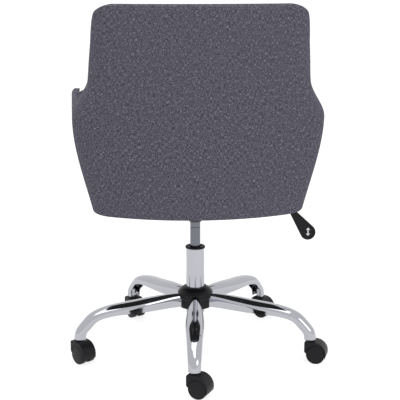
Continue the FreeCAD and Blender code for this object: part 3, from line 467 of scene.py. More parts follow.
# ------------------------------------------------------------
# Swivel plate.  A pressed steel pan with a flange, its taper socket welded in and four bolts up into
# the seat board; the lever turns on a pin between two ears.
# ------------------------------------------------------------
# Black powder coat: low gloss with fine orange peel.
powder, tree = material("black_powder_coat")
place = add(tree, "ShaderNodeTexCoord")
peel = add(tree, "ShaderNodeTexNoise", {"Vector": place.outputs["Object"], "Scale": 700.0, "Detail": 1.0})
relief = add(tree, "ShaderNodeBump", {"Height": peel.outputs[0], "Strength": 0.5, "Distance": 0.0001})
dust = add(tree, "ShaderNodeTexNoise", {"Vector": place.outputs["Object"], "Scale": 25.0, "Detail": 4.0})
tone = add(tree, "ShaderNodeValToRGB", {"Fac": dust.outputs[0]}, stops=((0.35, "#1B1B1D"), (0.75, "#26262A")))
surface = add(tree, "ShaderNodeBsdfPrincipled", {
    "Base Color": tone.outputs[0], "Roughness": 0.42, "Normal": relief.outputs[0], "Coat Weight": 0.15,
    "Coat Roughness": 0.3})
add(tree, "ShaderNodeOutputMaterial", {"Surface": surface.outputs[0]})
dress(powder, "seat_plate", "taper_socket", "lever_bracket", "lever_rod")
dress(zinc, "lever_pin", "plate_bolts", "tee_nuts")

# ------------------------------------------------------------
# Height lever.  A flat teardrop handle of black nylon pushed on the rod's end, rimmed round its dished
# faces, with a plain up-and-down arrow printed on the rear face.
# ------------------------------------------------------------
paddle_neck = np.array([-0.264, 0.384])
paddle_end = np.array([-0.3075, 0.3257])
neck_radius, end_radius = 0.008, 0.021
paddle_half = 0.006
lip = 0.0028
dish = 0.0014

paddle_run = paddle_end - paddle_neck
paddle_length = np.linalg.norm(paddle_run)
heading = math.atan2(paddle_run[1], paddle_run[0])
lean = math.asin((end_radius - neck_radius) / paddle_length)


def paddle_places(steps=17):
    """Teardrop round two circles: at each outward direction the edge is a centre plus its radius.

    Inwards from the edge the face rises by a quarter circle, runs level as a rim and dips into the dish.
    """
    turn = math.pi / 2 + lean
    end_arc = np.linspace(-turn, turn, 2 * steps)
    neck_arc = np.linspace(turn, 2 * math.pi - turn, steps)
    run = np.linspace(0, 1, steps)[1:-1]
    straight = np.full(steps - 2, turn)
    direction = heading + np.concatenate([end_arc, straight, neck_arc, -straight])
    share = np.concatenate([np.ones(2 * steps), 1 - run, np.zeros(steps), run])[:, None]
    centre = paddle_neck + paddle_run * share
    edge = neck_radius + (end_radius - neck_radius) * share
    inset = np.array([0, 0.06, 0.24, 0.5, 0.8, 1.0, 1.3, 1.55, 1.85, 2.2]) * lip
    rise = np.sqrt(np.clip(1 - (1 - inset / lip) ** 2, 0, 1))
    rise = np.where(inset > lip, 1, rise)
    dip = dish * np.clip((inset / lip - 1.3) / 0.9, 0, 1) ** 2
    level = (paddle_half - lip) + lip * rise - dip
    reach = np.clip(edge - inset[None, :], 0, None)
    spine = np.zeros((len(reach), 1))
    reach = np.concatenate([reach, spine], 1)
    level = np.concatenate([level, [paddle_half - dish]])
    outward = np.stack([np.cos(direction), np.sin(direction)], 1)
    face = centre[:, None, :] + reach[:, :, None] * outward[:, None, :]
    rear = np.concatenate([face[:, :, :1], level[None, :, None] + 0 * face[:, :, :1], face[:, :, 1:]], 2)
    front = rear * np.array([1, -1, 1])
    return np.concatenate([front[:, ::-1], rear], 1)


paddle = grid_mesh("teardrop_paddle", paddle_places(), wrap_across=False, wrap_along=True)
finish_mesh(paddle, black_plastic)
stands_for(paddle, "lever", "lever_paddle")

# Pad-printed white ink for the arrow.
ink, tree = material("white_pad_print")
place = add(tree, "ShaderNodeTexCoord")
wear = add(tree, "ShaderNodeTexNoise", {"Vector": place.outputs["Object"], "Scale": 900.0, "Detail": 3.0})
tone = add(tree, "ShaderNodeValToRGB", {"Fac": wear.outputs[0]}, stops=((0.35, "#B9B9BC"), (0.6, "#E4E4E6")))
surface = add(tree, "ShaderNodeBsdfPrincipled", {"Base Color": tone.outputs[0], "Roughness": 0.55})
add(tree, "ShaderNodeOutputMaterial", {"Surface": surface.outputs[0]})

arrow_tall, arrow_head, arrow_half, arrow_stem = 0.0115, 0.0062, 0.0058, 0.0016
arrow_outline = np.array([
    (0, arrow_tall), (arrow_half, arrow_tall - arrow_head), (arrow_stem, arrow_tall - arrow_head),
    (arrow_stem, arrow_head - arrow_tall), (arrow_half, arrow_head - arrow_tall), (0, -arrow_tall),
    (-arrow_half, arrow_head - arrow_tall), (-arrow_stem, arrow_head - arrow_tall),
    (-arrow_stem, arrow_tall - arrow_head), (-arrow_half, arrow_tall - arrow_head)])
ink_low = paddle_half - dish - 0.0001
ink_high = paddle_half - dish + 0.00025
arrow_x = paddle_end[0] + arrow_outline[:, 0]
arrow_z = paddle_end[1] + 0.002 + arrow_outline[:, 1]
arrow_rings = np.stack([np.stack([arrow_x, np.full(10, level), arrow_z], 1) for level in (ink_low, ink_high)])
arrow_mesh = bpy.data.meshes.new("printed_arrow")
ring = list(range(10))
sides = [(n, (n + 1) % 10, 10 + (n + 1) % 10, 10 + n) for n in ring]
back_ring = [10 + n for n in reversed(ring)]
arrow_mesh.from_pydata(arrow_rings.reshape(-1, 3).tolist(), [], sides + [ring, back_ring])
arrow = bpy.data.objects.new("printed_arrow", arrow_mesh)
bpy.context.scene.collection.objects.link(arrow)
finish_mesh(arrow, ink)
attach(arrow, "lever")

# ------------------------------------------------------------
# Moulded shell and dust cloth.  A shell of glass-filled nylon, screwed to the seat board's edge, makes the
# back and arms.  Black non-woven cloth is stapled under the board.
# ------------------------------------------------------------
frame_plastic = black_moulding("glass_filled_nylon", "#242424", 0.6, 1.2)
dress(zinc, "frame_screws")

# Spun-bonded dust cloth: matt black, pressed in dots 2 mm apart.
dust_cloth, tree = material("spun_bonded_dust_cloth")
place = add(tree, "ShaderNodeTexCoord")
dots = add(tree, "ShaderNodeTexVoronoi", {"Vector": place.outputs["Object"], "Scale": 500.0})
tone = add(tree, "ShaderNodeValToRGB", {"Fac": dots.outputs["Distance"]},
           stops=((0.1, "#121213"), (0.5, "#202022")))
relief = add(tree, "ShaderNodeBump", {
    "Height": dots.outputs["Distance"], "Strength": 0.6, "Distance": 0.0004})
surface = add(tree, "ShaderNodeBsdfPrincipled", {
    "Base Color": tone.outputs[0], "Roughness": 0.9, "Normal": relief.outputs[0]})
add(tree, "ShaderNodeOutputMaterial", {"Surface": surface.outputs[0]})

# ------------------------------------------------------------
# Outer panel.  One width of tweed runs from one arm's front round the back to the other, pulled over
# the moulded shell and turned in under its lower edge; its top edge is folded and topstitched.
# ------------------------------------------------------------
shell_low, back_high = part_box("outer_cover")[0].z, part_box("outer_cover")[1].z
arm_front = -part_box("outer_cover")[0].y
back_low_y, back_high_y = 0.245, 0.318
bow_low, bow_high = 0.520, 0.900
half_low, half_widest, half_narrow, half_high = 0.269, 0.317, 0.276, 0.270
widest_height, narrow_height = 0.668, 0.768
corner_radius = 0.074
side_start = 0.100
flare = math.radians(3.4)
arm_high, arm_rise, arm_nose = 0.673, 0.020, 0.032
top_round = 0.036
wing_start, wing_end = 1.6, 2.4
arm_length = 0.42
panel_depth = 0.0155
wall_depth = 0.060


def ease(part):
    """Smooth step from 0 to 1: 3 p^2 - 2 p^3."""
    part = np.clip(part, 0, 1)
    return part * part * (3 - 2 * part)


def half_width(height):
    """Half width at the rear corners: a cubic to the widest height, a smooth step in, then a slight taper."""
    span = widest_height - shell_low
    part = np.clip((height - shell_low) / span, 0, 1)
    start = (1 + 2 * part) * (1 - part) ** 2
    lower = start * half_low + part * (1 - part) ** 2 * 0.23 * span + (1 - start) * half_widest
    taper = np.clip(2 * (height - narrow_height) / (back_high - narrow_height), 0, 1)
    upper = half_widest + (half_narrow - half_widest) * ease(
        (height - widest_height) / (narrow_height - widest_height)) + (half_high - half_narrow) * taper
    return np.where(height <= widest_height, lower, upper)


def wall_place(along, height, depth):
    """Place in the tub's wall: along it, at a height and a depth inwards from the outside.

    along is 0 at the back's middle, 1 where the back's bow meets the corner, 2 where the corner meets the arm
    and 3 at the arm's front, negative on the -X side.  In plan: a bow, a tangent corner arc, a straight arm.
    """
    side = np.where(along < 0, -1, 1)
    place = np.abs(along)
    fraction = (height - shell_low) / (back_high - shell_low)
    bow = bow_low + (bow_high - bow_low) * fraction
    bow_y = back_low_y + (back_high_y - back_low_y) * fraction - bow
    base_x = half_width(height) - math.cos(flare) * corner_radius
    base_y = side_start - math.sin(flare) * corner_radius
    half_b = -math.sin(flare) * base_x + math.cos(flare) * (base_y - bow_y)
    slack = half_b ** 2 - (base_x ** 2 + (base_y - bow_y) ** 2 - (bow - corner_radius) ** 2)
    slide = np.sqrt(slack) - half_b
    centre_x = base_x - math.sin(flare) * slide
    centre_y = base_y + math.cos(flare) * slide
    meeting = np.arctan2(centre_x, centre_y - bow_y)
    last = math.pi / 2 - flare
    angle = np.where(place < 1, meeting * place, meeting + (last - meeting) * (np.clip(place, 1, 2) - 1))
    radius = np.where(place < 1, bow, corner_radius) - depth
    run = (centre_y + math.sin(flare) * (corner_radius - depth) + arm_front) / math.cos(flare)
    run = run * np.clip(place - 2, 0, None)
    x = np.where(place < 1, 0, centre_x) + np.sin(angle) * radius + math.sin(flare) * run
    y = np.where(place < 1, bow_y, centre_y) + np.cos(angle) * radius - math.cos(flare) * run
    return np.stack(np.broadcast_arrays(side * x, y, height), -1)


def top_edge(along):
    """Height of the wall's top: level over the back, round at its corners, down the wings, along the arms."""
    place = np.abs(along)
    wing = ease((place - wing_start) / (wing_end - wing_start))
    arm = arm_high + arm_rise * ease((place - 2) / 0.9)
    inset = corner_radius * (1 - np.cos(math.radians(62) * np.clip(2 - place, 0, 1)))
    rounding = top_round - np.sqrt(top_round ** 2 - np.clip(top_round - inset, 0, None) ** 2)
    front = np.clip((place - 2.9) / 0.1, 0, 1)
    nose = arm_nose * (1 - np.sqrt(np.clip(1 - front ** 2, 0, 1)))
    return back_high + (arm + top_round - back_high) * wing - rounding - nose


def stations(first, last, count, rounding):
    """Places along the wall from first to last, and how far each section is drawn in to round the ends."""
    middle = np.linspace(first, last, count)
    angle = np.linspace(0, math.pi / 2, 9)[1:]
    start = first + rounding / arm_length * (1 - np.sin(angle[::-1]))
    end = last - rounding / arm_length * (1 - np.sin(angle))
    keep = (middle > start.max() + 0.01) & (middle < end.min() - 0.01)
    along = np.concatenate([[first], start, middle[keep], end, [last]])
    drawn = np.concatenate([[rounding], rounding * (1 - np.cos(angle[::-1])) , np.zeros(keep.sum()),
                            rounding * (1 - np.cos(angle)), [rounding]])
    return along, drawn


def wall_grid(along, drawn, outer, inner, low, drop, corner, rows=40):
    """Closed sections of a wall piece: a rounded rectangle in depth and height at each place along.

    Each point is the rectangle's inner corner or side plus an arc direction times the corner's radius.  The
    first and last sections are flattened onto their middle line, which closes the ends.
    """
    arc = np.linspace(0, math.pi / 2, 6)
    side = np.linspace(-1, 1, rows)[1:-1]
    cap = np.linspace(-1, 1, 5)[1:-1]
    one, zero = np.ones(6), np.zeros(len(side))
    side_in = np.concatenate([-1 + zero, -one, cap, one, 1 + zero, one, -cap, -one])
    side_up = np.concatenate([side, one, 1 + 0 * cap, one, -side, -one, -1 + 0 * cap, -one])
    sine, cosine, none, whole = np.sin(arc), np.cos(arc), 0 * cap, 1 + 0 * cap
    arc_in = np.concatenate([-1 + zero, -cosine, none, sine, 1 + zero, cosine, none, -sine])
    arc_up = np.concatenate([zero, sine, whole, cosine, zero, -sine, -whole, -cosine])
    top = top_edge(along) - drop
    half_in = ((inner - outer) / 2 - drawn)[:, None]
    half_up = ((top - low) / 2 - drawn)[:, None]
    radius = np.clip(corner - drawn, 0.0002, None)[:, None]
    radius = np.minimum(radius, half_in)
    depth = (outer + inner) / 2 + side_in * (half_in - radius) + arc_in * radius
    height = ((top + low) / 2)[:, None] + side_up * (half_up - radius) + arc_up * radius
    depth[[0, -1]] = (outer + inner) / 2
    return wall_place(along[:, None] + 0 * height, height, depth), depth, height


def lay_cloth(piece, across, up, through):
    """Store each vertex's place in the cloth, in metres, for the weave to follow."""
    laid = piece.data.attributes.new("cloth", "FLOAT_VECTOR", "POINT")
    laid.data.foreach_set("vector", np.stack([across, up, through], 1).astype(np.float32).ravel())


def vertices(piece):
    """Vertex places of a piece as an array."""
    places = np.empty(len(piece.data.vertices) * 3, np.float32)
    piece.data.vertices.foreach_get("co", places)
    return places.reshape(-1, 3)


# Heathered polyester tweed: violet-grey yarns of three greys, with thick slubs up and across the cloth and a
# few pale flecks.  The yarns are 0.7 mm apart, too fine to show, so the slubs are drawn 1.1 mm apart.
slub = 1000 / 1.1
slub_long = 1000 / 8
tweed, tree = material("heathered_tweed")
laid = add(tree, "ShaderNodeAttribute", attribute_name="cloth")
warp_lie = add(tree, "ShaderNodeMapping", {
    "Vector": laid.outputs["Vector"], "Scale": (slub, slub_long, slub)})
weft_lie = add(tree, "ShaderNodeMapping", {
    "Vector": laid.outputs["Vector"], "Scale": (slub_long, slub, slub)})
warp = add(tree, "ShaderNodeTexNoise", {"Vector": warp_lie.outputs[0], "Scale": 1.0, "Detail": 2.0})
weft = add(tree, "ShaderNodeTexNoise", {"Vector": weft_lie.outputs[0], "Scale": 1.0, "Detail": 2.0})
speck = add(tree, "ShaderNodeTexNoise", {"Vector": laid.outputs["Vector"], "Scale": slub, "Detail": 3.0})
both = add(tree, "ShaderNodeMath", {0: warp.outputs[0], 1: weft.outputs[0]}, operation="ADD")
all_three = add(tree, "ShaderNodeMath", {0: speck.outputs[0], 1: 0.5, 2: both.outputs[0]},
                operation="MULTIPLY_ADD")
yarn = add(tree, "ShaderNodeMath", {0: all_three.outputs[0], 1: 2.5}, operation="DIVIDE")
tone = add(tree, "ShaderNodeValToRGB", {"Fac": yarn.outputs[0]},
           stops=((0.38, "#222028"), (0.62, "#87858F"), (0.47, "#403E49"), (0.53, "#4E4C57")))
relief = add(tree, "ShaderNodeBump", {"Height": yarn.outputs[0], "Strength": 0.6, "Distance": 0.0008})
surface = add(tree, "ShaderNodeBsdfPrincipled", {
    "Base Color": tone.outputs[0], "Roughness": 0.92, "Normal": relief.outputs[0],
    "Specular IOR Level": 0.15})
add(tree, "ShaderNodeOutputMaterial", {"Surface": surface.outputs[0]})

along, drawn = stations(-3.0, 3.0, 241, 0.0065)
places, depth, height = wall_grid(along, drawn, 0.0, panel_depth, shell_low, 0.0, 0.0070, rows=90)
panel = grid_mesh("outer_panel", places)
steps = np.linalg.norm(np.diff(places[:, 20], axis=0), axis=1)
arc_length = np.concatenate([[0], np.cumsum(steps)])[:, None] + 0 * height
lay_cloth(panel, arc_length.ravel(), height.ravel(), depth.ravel())
finish_mesh(panel, tweed, crease=80)
stands_for(panel, "lift", "outer_cover")

along, drawn = stations(-2.984, 2.984, 241, 0.004)
places, depth, height = wall_grid(along, drawn, 0.005, 0.015, shell_low + 0.006, 0.012, 0.003, rows=60)
moulding = finish_mesh(grid_mesh("moulded_tub_shell", places), frame_plastic)
stands_for(moulding, "lift", "shell_frame")

# The top seam: the outer and inner covers are sewn together round a folded welt, from one arm's front over
# the back to the other's.
welt_radius = 0.0018


def tube_places(path, outward, radius, steps=8):
    """Tube along a path: at each point a circle in the plane of outward and its normal to the path."""
    ahead = np.gradient(path, axis=0)
    ahead /= np.linalg.norm(ahead, axis=1)[:, None]
    outward = outward - (outward * ahead).sum(1)[:, None] * ahead
    outward /= np.linalg.norm(outward, axis=1)[:, None]
    other = np.cross(ahead, outward)
    angle = np.linspace(0, 2 * math.pi, steps, endpoint=False)[None, :, None]
    return path[:, None] + radius * (np.cos(angle) * outward[:, None] + np.sin(angle) * other[:, None])


seam_along = np.linspace(-2.985, 2.985, 500)
seam_path = wall_place(seam_along, top_edge(seam_along) - 0.0012, np.full(500, panel_depth + 0.0003))
welt_grid = tube_places(seam_path, np.tile([0.0, 0.0, 1.0], (500, 1)), welt_radius)
welt = grid_mesh("top_welt", welt_grid)
steps = np.concatenate([[0], np.cumsum(np.linalg.norm(np.diff(seam_path, axis=0), axis=1))])
lay_cloth(welt, np.repeat(steps, 8), np.tile(np.arange(8) * 0.0014, 500), np.zeros(4000))
finish_mesh(welt, tweed)
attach(welt, "lift")

# Topstitching: bonded polyester thread, a stitch every 5 mm, 9 mm below the panel's folded top edge.
thread, tree = material("bonded_polyester_thread")
place = add(tree, "ShaderNodeTexCoord")
twist = add(tree, "ShaderNodeTexNoise", {"Vector": place.outputs["Object"], "Scale": 1200.0, "Detail": 1.0})
tone = add(tree, "ShaderNodeValToRGB", {"Fac": twist.outputs[0]}, stops=((0.3, "#4A4852"), (0.7, "#6B6975")))
surface = add(tree, "ShaderNodeBsdfPrincipled", {"Base Color": tone.outputs[0], "Roughness": 0.6})
add(tree, "ShaderNodeOutputMaterial", {"Surface": surface.outputs[0]})


def stitches(name, path, outward, long=0.0036, thick=0.0005):
    """One small spindle per place on a path, laid along it: six-sided, pointed at both ends."""
    ahead = np.gradient(path, axis=0)
    ahead /= np.linalg.norm(ahead, axis=1)[:, None]
    outward = outward / np.linalg.norm(outward, axis=1)[:, None]
    other = np.cross(ahead, outward)
    level = np.array([-1, -0.8, 0, 0.8, 1])
    girth = np.array([0.05, 0.7, 1, 0.7, 0.05])
    angle = np.linspace(0, 2 * math.pi, 6, endpoint=False)
    local_ahead = np.repeat(level * long / 2, 6)
    local_out = np.outer(girth, np.cos(angle)).ravel() * thick
    local_other = np.outer(girth, np.sin(angle)).ravel() * thick
    shape = (path[:, None] + local_ahead[:, None] * ahead[:, None] + local_out[:, None] * outward[:, None]
             + local_other[:, None] * other[:, None])
    ring, step = [each.ravel() for each in np.meshgrid(np.arange(4), np.arange(6), indexing="ij")]
    quad = np.stack([ring * 6 + step, ring * 6 + (step + 1) % 6, ring * 6 + 6 + (step + 1) % 6,
                     ring * 6 + 6 + step], 1)
    quads = (quad[None] + 30 * np.arange(len(path))[:, None, None]).reshape(-1, 4).tolist()
    first, last = np.arange(6)[::-1], 24 + np.arange(6)
    ends = [(end + 30 * count).tolist() for count in range(len(path)) for end in (first, last)]
    mesh = bpy.data.meshes.new(name)
    mesh.from_pydata(shape.reshape(-1, 3).tolist(), [], quads + ends)
    piece = bpy.data.objects.new(name, mesh)
    bpy.context.scene.collection.objects.link(piece)
    return finish_mesh(piece, thread)


fine = np.linspace(-2.97, 2.97, 4000)
drop = 0.009
line = wall_place(fine, top_edge(fine) - drop, np.full(4000, -0.0001))
gone = np.concatenate([[0], np.cumsum(np.linalg.norm(np.diff(line, axis=0), axis=1))])
stitch_along = np.interp(np.arange(0, gone[-1], 0.005), gone, fine)
stitch_path = wall_place(stitch_along, top_edge(stitch_along) - drop, np.full(len(stitch_along), -0.0001))
stitch_inner = wall_place(stitch_along, top_edge(stitch_along) - drop, np.full(len(stitch_along), 0.01))
topstitch = stitches("panel_topstitch", stitch_path, stitch_path - stitch_inner)
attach(topstitch, "lift")

# ------------------------------------------------------------
# Back and arm pads.  Foam under tweed, sewn as three pads: one across the back, one inside each arm.
# They swell between their seams.
# ------------------------------------------------------------
def baked(piece):
    """Replace a piece's mesh by its mesh with modifiers applied."""
    shaped = bpy.data.meshes.new_from_object(piece.evaluated_get(bpy.context.evaluated_depsgraph_get()))
    piece.modifiers.clear()
    piece.data = shaped


def plump(piece, cap, voxel=0.006, pressure=4.0):
    """Even out a closed pad with voxels, swell it as cloth under pressure, hold each vertex within cap."""
    even = piece.modifiers.new("even", "REMESH")
    even.mode = "VOXEL"
    even.voxel_size = voxel
    baked(piece)
    rest = vertices(piece)
    cloth = piece.modifiers.new("cloth", "CLOTH")
    cloth.settings.use_pressure = True
    cloth.settings.uniform_pressure_force = pressure
    cloth.settings.effector_weights.gravity = 0
    cloth.settings.quality = 4
    for step in range(1, 21):
        bpy.context.scene.frame_set(step)
    baked(piece)
    bpy.context.scene.frame_set(1)
    move = vertices(piece) - rest
    size = np.linalg.norm(move, axis=1)[:, None]
    held = rest + move * np.minimum(1, cap / np.maximum(size, 1e-9))
    piece.data.vertices.foreach_set("co", held.astype(np.float32).ravel())
    piece.data.update()


def smooth_pad(piece, finish):
    """Smooth the voxel steps away, shade smooth and add one live subdivision."""
    work = bmesh.new()
    work.from_mesh(piece.data)
    for _ in range(6):
        bmesh.ops.smooth_vert(work, verts=work.verts, factor=0.5,
                              use_axis_x=True, use_axis_y=True, use_axis_z=True)
    for face in work.faces:
        face.smooth = True
    work.to_mesh(piece.data)
    work.free()
    finer = piece.modifiers.new("finer", "SUBSURF")
    finer.levels = 1
    finer.render_levels = 1
    piece.data.materials.clear()
    piece.data.materials.append(finish)


board_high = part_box("seat_board")[1].z
joint_along = 2.04
for name, node, first, last, drop, swell in (
        ("back_upholstery", "back_pad", -joint_along, joint_along, 0.003, 0.008),
        ("left_arm_upholstery", "arm_pad_left", joint_along + 0.004, 3.0, -0.001, 0.006),
        ("right_arm_upholstery", "arm_pad_right", -3.0, -joint_along - 0.004, -0.001, 0.006)):
    along, drawn = stations(first, last, 121, 0.010)
    places, depth, height = wall_grid(along, drawn, panel_depth + 0.0025, wall_depth - 0.004,
                                      board_high + 0.003, drop, 0.013, rows=60)
    pad = finish_mesh(grid_mesh(name, places), tweed)
    plump(pad, swell)
    smooth_pad(pad, tweed)
    x, y, z = vertices(pad).T
    if node == "back_pad":
        lay_cloth(pad, x, z, y)
    else:
        lay_cloth(pad, y, z, x)
    stands_for(pad, "lift", node)

# ------------------------------------------------------------
# Seat cushion.  A foam block in a boxed tweed cover, deeper at the front, where it overhangs the arms.
# ------------------------------------------------------------
cushion_low, cushion_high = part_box("seat_cushion")[0].z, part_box("seat_cushion")[1].z
cushion_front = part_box("seat_cushion")[0].y


def cushion_outline(height, inset, steps=161):
    """Closed plan outline of the cushion: the wall's inner line drawn in, then straight across the front."""
    along = np.linspace(-2.985, 2.985, steps)
    side = wall_place(along, np.full(steps, height), np.full(steps, wall_depth + 0.0015 + inset))
    front_y = cushion_front + inset
    corner = 0.022
    half = side[-1, 0]
    turn = np.linspace(0, math.pi / 2, 9)
    right = np.stack([half - corner + corner * np.cos(turn), front_y + corner - corner * np.sin(turn),
                      np.full(9, height)], 1)
    across = np.linspace(half - corner, corner - half, 41)[1:-1]
    front = np.stack([across, np.full(39, front_y), np.full(39, height)], 1)
    left = right[::-1] * np.array([-1, 1, 1])
    return np.concatenate([side, right, front, left])


seat_middle = np.array([0, -0.06, 0])
base_height = cushion_low + 0.004
crown_height = cushion_high - 0.007


def cushion_places():
    """Rings from the bottom's middle out to the edge, up the sides and in over the top."""
    corner = 0.020
    turn = np.linspace(0, math.pi / 2, 7)
    rings = []
    for share in (0.0, 0.3, 0.6, 0.85):
        middle = seat_middle + np.array([0, 0, base_height])
        rings.append(middle * (1 - share) + cushion_outline(base_height, corner) * share)
    for angle in turn:
        rings.append(cushion_outline(base_height + corner * (1 - math.cos(angle)),
                                     corner * (1 - math.sin(angle))))
    for angle in turn[::-1]:
        rings.append(cushion_outline(crown_height - corner * (1 - math.cos(angle)),
                                     corner * (1 - math.sin(angle))))
    for share in (0.85, 0.6, 0.3, 0.0):
        middle = seat_middle + np.array([0, 0, crown_height])
        rings.append(middle * (1 - share) + cushion_outline(crown_height, corner) * share)
    return np.stack(rings)


cushion = finish_mesh(grid_mesh("seat_cushion_cover", cushion_places()), tweed)
plump(cushion, 0.012)
smooth_pad(cushion, tweed)
x, y, z = vertices(cushion).T
lay_cloth(cushion, x, y, z)
stands_for(cushion, "lift", "seat_cushion")

# Piping round the cushion's upper edge, laid on the swollen cover.
cover_surface = BVHTree.FromObject(cushion, bpy.context.evaluated_depsgraph_get())
edge_line = cushion_outline(cushion_high - 0.0115, 0.0035)
edge_line = np.array([cover_surface.find_nearest(Vector(place))[0] for place in edge_line])
following = np.roll(edge_line, -1, axis=0)
edge_line = edge_line[np.linalg.norm(following - edge_line, axis=1) > 0.0008]
closed = np.concatenate([edge_line[-3:], edge_line, edge_line[:3]])
piping_grid = tube_places(closed, np.tile([0.0, 0.0, 1.0], (len(closed), 1)), 0.0024)[3:-3]
piping = grid_mesh("cushion_piping", piping_grid, wrap_along=True)
rows = len(piping_grid)
lay_cloth(piping, np.repeat(np.arange(rows) * 0.008, 8), np.tile(np.arange(8) * 0.0019, rows),
          np.zeros(rows * 8))
finish_mesh(piping, tweed)
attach(piping, "lift")

# ------------------------------------------------------------
# Seat board, front rail and dust cloth.  The board and the rail under the cushion's front edge are wrapped
# in the seat's tweed.  The dust cloth is stapled underneath, cut round the swivel plate and pulled tight.
# ------------------------------------------------------------
def board_outline(height, inset):
    """Closed plan outline of the board: the shell's inner line drawn in, then straight across the front."""
    end = 2.999 - inset / arm_length
    side = wall_place(np.linspace(-end, end, 241), np.full(241, height), np.full(241, 0.0156 + inset))
    return np.concatenate([side, np.linspace(side[-1], side[0], 82)[1:-1]])


board_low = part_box("seat_board")[0].z
wrap_round = 0.003
rings = []
for height, inset in ((board_low, 0.2), (board_low, wrap_round), (board_low + 0.0009, 0.0009),
                      (board_low + wrap_round, 0.0), (board_high - wrap_round, 0.0),
                      (board_high - 0.0009, 0.0009), (board_high, wrap_round), (board_high, 0.2)):
    rings.append(board_outline(height, min(inset, wrap_round)))
    if inset > wrap_round:
        rings[-1] = np.tile([*seat_middle[:2], height], (len(rings[-1]), 1))
wrapped_board = grid_mesh("wrapped_seat_board", np.stack(rings))
x, y, z = np.stack(rings).reshape(-1, 3).T
lay_cloth(wrapped_board, x, y, z)
finish_mesh(wrapped_board, tweed, crease=60)
stands_for(wrapped_board, "lift", "seat_board")

rail_low, rail_high = [np.array(corner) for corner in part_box("front_rail")]
# The wrap takes the rail out towards the arms and up to the cushion.
rail_reach = 0.022
rail_low[0] -= rail_reach
rail_high += np.array([rail_reach, 0.001, 0.005])
rail_middle, rail_half = (rail_low + rail_high) / 2, (rail_high - rail_low) / 2
rail_round = 0.004
turn = np.linspace(0, 2 * math.pi, 32, endpoint=False) + math.pi / 32
side_y, side_z = np.sign(np.cos(turn)), np.sign(np.sin(turn))
rings = []
for x, drawn_in in ((-1, rail_round), (-1, 0.0), (1, 0.0), (1, rail_round)):
    end = x * (rail_half[0] - (rail_round if drawn_in == 0 else 0))
    flat_y, flat_z = rail_half[1:] - rail_round - drawn_in * 0.5
    rings.append(np.stack([rail_middle[0] + end + 0 * turn,
                           rail_middle[1] + side_y * flat_y + rail_round * 0.6 * np.cos(turn),
                           rail_middle[2] + side_z * flat_z + rail_round * 0.6 * np.sin(turn)], 1))
centre_line = [np.tile(ring.mean(0), (32, 1)) for ring in (rings[0], rings[-1])]
rail_places = np.stack([centre_line[0], *rings, centre_line[1]])
rail = grid_mesh("wrapped_front_rail", rail_places)
lay_cloth(rail, rail_places[:, :, 0].ravel(), rail_places[:, :, 2].ravel(), rail_places[:, :, 1].ravel())
finish_mesh(rail, tweed, crease=60)
stands_for(rail, "lift", "front_rail")

cloth_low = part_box("dust_cover")[0].z
cloth_thick = 0.0006
window = 0.096, 0.081
cloth_edge = board_outline(cloth_low + 0.0005, 0.0)
bearing = np.arctan2(cloth_edge[:, 1], cloth_edge[:, 0])
reach_x = window[0] / np.maximum(np.abs(np.cos(bearing)), 1e-6)
reach_y = window[1] / np.maximum(np.abs(np.sin(bearing)), 1e-6)
cut = np.minimum(reach_x, reach_y)[:, None] * np.stack([np.cos(bearing), np.sin(bearing), 0 * bearing], 1)
cut[:, 2] = cloth_low + 0.0005
share = np.linspace(0, 1, 24)[:, None, None]
flat_cloth = cut * (1 - share) + cloth_edge * share
upper = flat_cloth + np.array([0, 0, cloth_thick])
cloth_places = np.concatenate([flat_cloth, upper[::-1]])
dust_sheet = grid_mesh("stapled_dust_cloth", cloth_places, wrap_along=True)
finish_mesh(dust_sheet, dust_cloth, crease=60)
stands_for(dust_sheet, "lift", "dust_cover")

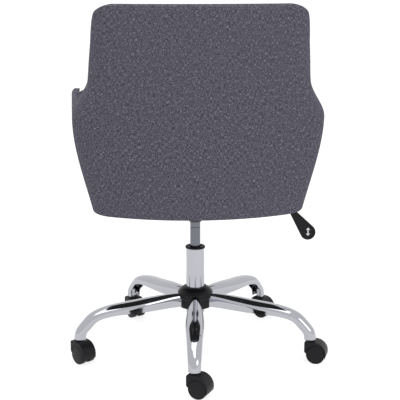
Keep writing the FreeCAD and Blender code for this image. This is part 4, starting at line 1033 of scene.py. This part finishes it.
# ------------------------------------------------------------
# Casters.  A moulded hood turns on its stem and straddles two nylon wheels on a steel axle; each wheel
# has a rounded tread and a shallow domed disc.
# ------------------------------------------------------------
nylon = black_moulding("moulded_nylon_wheel", "#0F0E12", 0.36, 0.6)
wheel_radius = 0.025
wheel_inner, wheel_outer = 0.0056, 0.0215
axle_radius, axle_half = 0.003, 0.018
headings = {joint["child"]: joint for joint in frame["joints"]}


def wheel_outline():
    """(radius, distance from the caster's middle) outline of a wheel, hollow on its inner side."""
    return rounded([
        (0.0, axle_half + 0.0005, 0),
        (axle_radius + 0.00005, axle_half + 0.0005, 0),
        (axle_radius + 0.00005, wheel_inner, 0.0003),
        (axle_radius + 0.0035, wheel_inner, 0.0005),
        (axle_radius + 0.0035, wheel_outer - 0.005, 0),
        (wheel_radius - 0.0045, wheel_outer - 0.005, 0),
        (wheel_radius - 0.0045, wheel_inner, 0.0005),
        (wheel_radius, wheel_inner, 0.002),
        (wheel_radius, wheel_outer, 0.0028),
        (wheel_radius - 0.0042, wheel_outer, 0.0003),
        (wheel_radius - 0.0046, wheel_outer - 0.0006, 0.0002),
        (wheel_radius - 0.0056, wheel_outer + 0.0001, 0.0006),
        (wheel_radius - 0.014, wheel_outer + 0.0009, 0.012),
        (0.0, wheel_outer + 0.0011, 0)])


for count in range(1, 6):
    casting = f"caster_{count}"
    for side in ("left", "right"):
        joint = headings[f"{casting}_{side}"]
        middle = np.array(joint["pos_m"])
        axle = np.array(joint["axis"]) * (1 if side == "left" else -1)
        upright = np.array([0.0, 0.0, 1.0])
        across = np.cross(upright, axle)
        reach, out = wheel_outline().T
        angle = np.linspace(0, 2 * math.pi, 64, endpoint=False)[:, None, None]
        rim = np.cos(angle) * across + np.sin(angle) * upright
        places = middle + reach[None, :, None] * rim + out[None, :, None] * axle
        wheel = grid_mesh(f"{casting}_nylon_wheel_{side}", places, wrap_along=True)
        finish_mesh(wheel, nylon)
        stands_for(wheel, f"{casting}_{side}", f"{casting}_wheel_{side}")
    hood = bpy.data.objects.new(f"{casting}_moulded_hood", nodes[f"{casting}_hood"].data.copy())
    bpy.context.scene.collection.objects.link(hood)
    finish_mesh(hood, black_plastic, crease=32)
    stands_for(hood, casting, f"{casting}_hood")
    dress(zinc, f"{casting}_axle")
